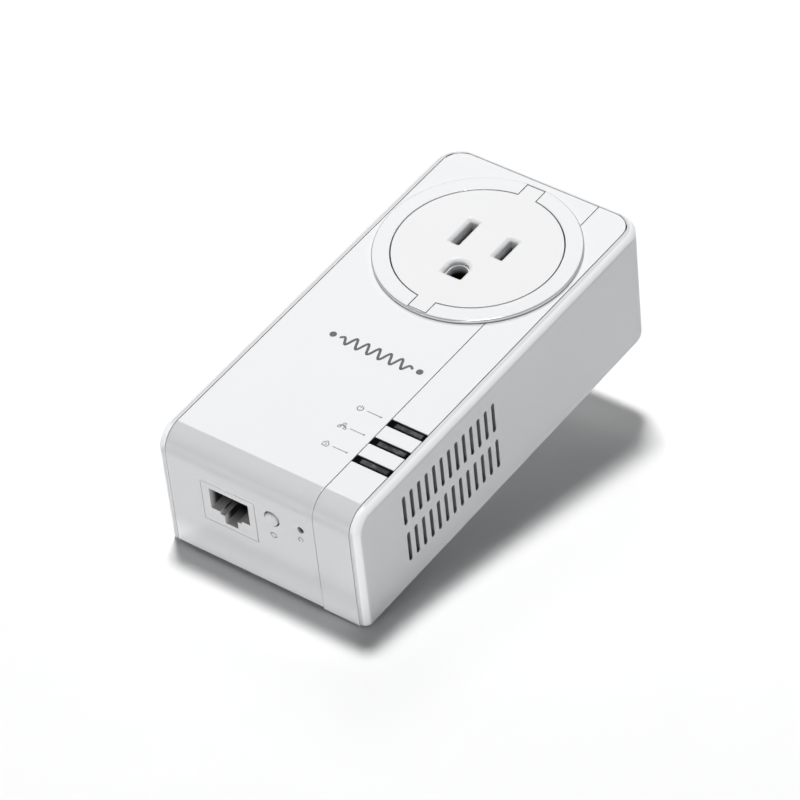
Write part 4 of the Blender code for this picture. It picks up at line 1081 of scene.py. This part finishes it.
def house_symbol(x, y):
    """A house outline round a small bolt."""
    house = [(x - 0.8, y - 0.8), (x + 0.8, y - 0.8), (x + 0.8, y + 0.15), (x, y + 0.95), (x - 0.8, y + 0.15)]
    bolt = [(x + 0.15, y + 0.35), (x - 0.2, y - 0.05), (x + 0.2, y - 0.15), (x - 0.12, y - 0.6)]
    return [printed_line(house, closed=True), printed_line(bolt, width=THINNER_LINE)]


def make_light_marks():
    """A symbol for each light, with a pointer towards its bar."""
    mark_x, mark_lift, pointer_low_x, pointer_high_x = 8.2, 0.35, 10.2, 14.2
    shapes = []
    for light, symbol in zip(LIGHTS, (power_symbol, network_symbol, house_symbol)):
        low, high = node_box(light + "_window")
        y = (low.y + high.y) / 2 + mark_lift
        shapes += symbol(mark_x, y)
        shapes.append(printed_line([(pointer_low_x, y), (pointer_high_x, y)], width=THINNER_LINE))
        shapes.append(printed_area(circle((pointer_high_x + 0.2, y), 0.28, 20)))
    piece("light_marks", merged(shapes), "grey_plastic", material=INK_GREY, flat=True)


def make_button_marks():
    """Two arrows that turn in a ring under the button, and one that turns back under the pinhole."""
    centre, radius, head = (SYNC_X, SYNC_Z - 5.5), 0.8, 0.35
    shapes = []
    for start in (0, 180):
        shapes.append(printed_line(arc(centre, radius, start + 20, start + 150, 14), ink_on_port))
        tip = arc(centre, radius, start + 160, start + 170, 1)[1]
        base = arc(centre, radius, start + 140, start + 150, 1)[1]
        along = Vector((tip[0] - base[0], tip[1] - base[1])).normalized() * head
        across = Vector((-along.y, along.x))
        shapes.append(printed_area([(base[0] + across.x, base[1] + across.y),
                                    (base[0] - across.x, base[1] - across.y),
                                    (base[0] + along.x * 2, base[1] + along.y * 2)], ink_on_port))
    centre, radius = (RESET_X - 0.2, RESET_Z - 3.3), 0.65
    shapes.append(printed_line(arc(centre, radius, -50, 220, 24), ink_on_port))
    x, z = arc(centre, radius, 220, 230, 1)[0]
    shapes.append(printed_area([(x - 0.45, z + 0.1), (x + 0.35, z + 0.25), (x + 0.1, z - 0.5)], ink_on_port))
    piece("button_marks", merged(shapes), "grey_plastic", material=INK_GREY, flat=True)


# ------------ stage

FLOOR_SLOPE = math.tan(math.radians(13.8))


def make_floor():
    """A pale sweep under the adapter as it lies on its lower edge and the tip of its ground pin.

    It is level in front of the lower edge and slopes down behind it. All its sizes are in metres.
    """
    near_y = PORT_Y * MM
    step, steps_before, steps_behind = 0.0125, 160, 120
    half_width, fold, drop = 2.5, 0.03, 0.0004
    shape = bmesh.new()
    rows = []
    for i in range(-steps_before, steps_behind + 1):
        y = near_y + i * step
        run = y - near_y
        z = -FLOOR_SLOPE * (run + math.sqrt(run * run + fold * fold) - fold) / 2 - drop
        rows.append([shape.verts.new((x, y, z)) for x in (-half_width, 0.0, half_width)])
    for lower, upper in zip(rows, rows[1:]):
        for i in range(2):
            shape.faces.new((lower[i], lower[i + 1], upper[i + 1], upper[i]))
    bmesh.ops.recalc_face_normals(shape, faces=shape.faces)
    mesh = mesh_of(shape, "floor")
    mesh.shade_smooth()
    tones = ((0.89, 0.89, 0.89), (0.91, 0.91, 0.91))
    mesh.materials.append(surface("floor_paper", tones, (0.8, 0.9), 1.0, 2.0, specular=0.2))
    floor = placed("floor", mesh)


def area_light(name, place, size, power):
    """A square lamp, in metres and watts, that points at the middle of the adapter."""
    target = Vector((0.0, 0.0, 0.015))
    data = bpy.data.lights.new(name, "AREA")
    data.shape = "RECTANGLE"
    data.size = size
    data.size_y = size
    data.energy = power
    light = placed(name, data)
    light.location = place
    light.rotation_mode = "QUATERNION"
    light.rotation_quaternion = (target - Vector(place)).to_track_quat("-Z", "Y")


def make_sky():
    """A dim sky over a pale horizon."""
    world = bpy.data.worlds.new("studio")
    bpy.context.scene.world = world
    world.use_nodes = True
    tree = world.node_tree
    background = tree.nodes["Background"]
    background.inputs["Color"].default_value = (0.97, 0.98, 1.0, 1.0)
    height = coordinate_parts(tree, "Generated")["Z"]
    strength = smooth_step(tree, height, 0.05, 0.22, 0.88, 0.1)
    tree.links.new(strength, background.inputs["Strength"])


def make_lights():
    """A light overhead, a soft box behind the adapter and a low fill in front of it."""
    area_light("overhead", (-0.74, 0.98, 4.5), 0.72, 200.0)
    area_light("gloss_box", (-0.68, 0.86, 0.98), 0.52, 2.5)
    area_light("edge_fill", (0.5, -1.25, 0.1), 0.3, 7.5)


def make_camera():
    """A long lens over the port end's right corner. Its place is in metres."""
    place = Vector((0.53878, -0.64220, 0.81452))
    right = Vector((0.8084, 0.5832, -0.0801))
    down = Vector((0.3594, -0.5967, -0.7175))
    forward = Vector((-0.4662, 0.5512, -0.6920))
    data = bpy.data.cameras.new("camera")
    data.sensor_width = 36.0
    data.lens = 207.63
    data.clip_start, data.clip_end = 0.05, 20.0
    camera = placed("camera", data)
    axes = Matrix((right, -down, -forward)).transposed().to_4x4()
    camera.matrix_world = Matrix.Translation(place) @ axes
    bpy.context.scene.camera = camera


def dress_nodes():
    """The CAD nodes that stay in view get their slot's surface."""
    slots = {part["node"]: part["material_slot"] for part in frame["record"]["subparts"]}
    for name, node in frame["nodes"].items():
        if not node.hide_render:
            for held in node.material_slots:
                held.material = SURFACES[slots[name]]


make_housing()
make_front_panel()
make_strip_panel()
make_windows()
make_ring()
make_disc()
make_jack()
make_sync_button()
make_plug()
make_screws()
make_label()
make_wave_mark()
make_light_marks()
make_button_marks()
dress_nodes()
make_floor()
make_sky()
make_lights()
make_camera()

bpy.context.scene.view_settings.view_transform = "Standard"
bpy.context.scene.cycles.use_denoising = True
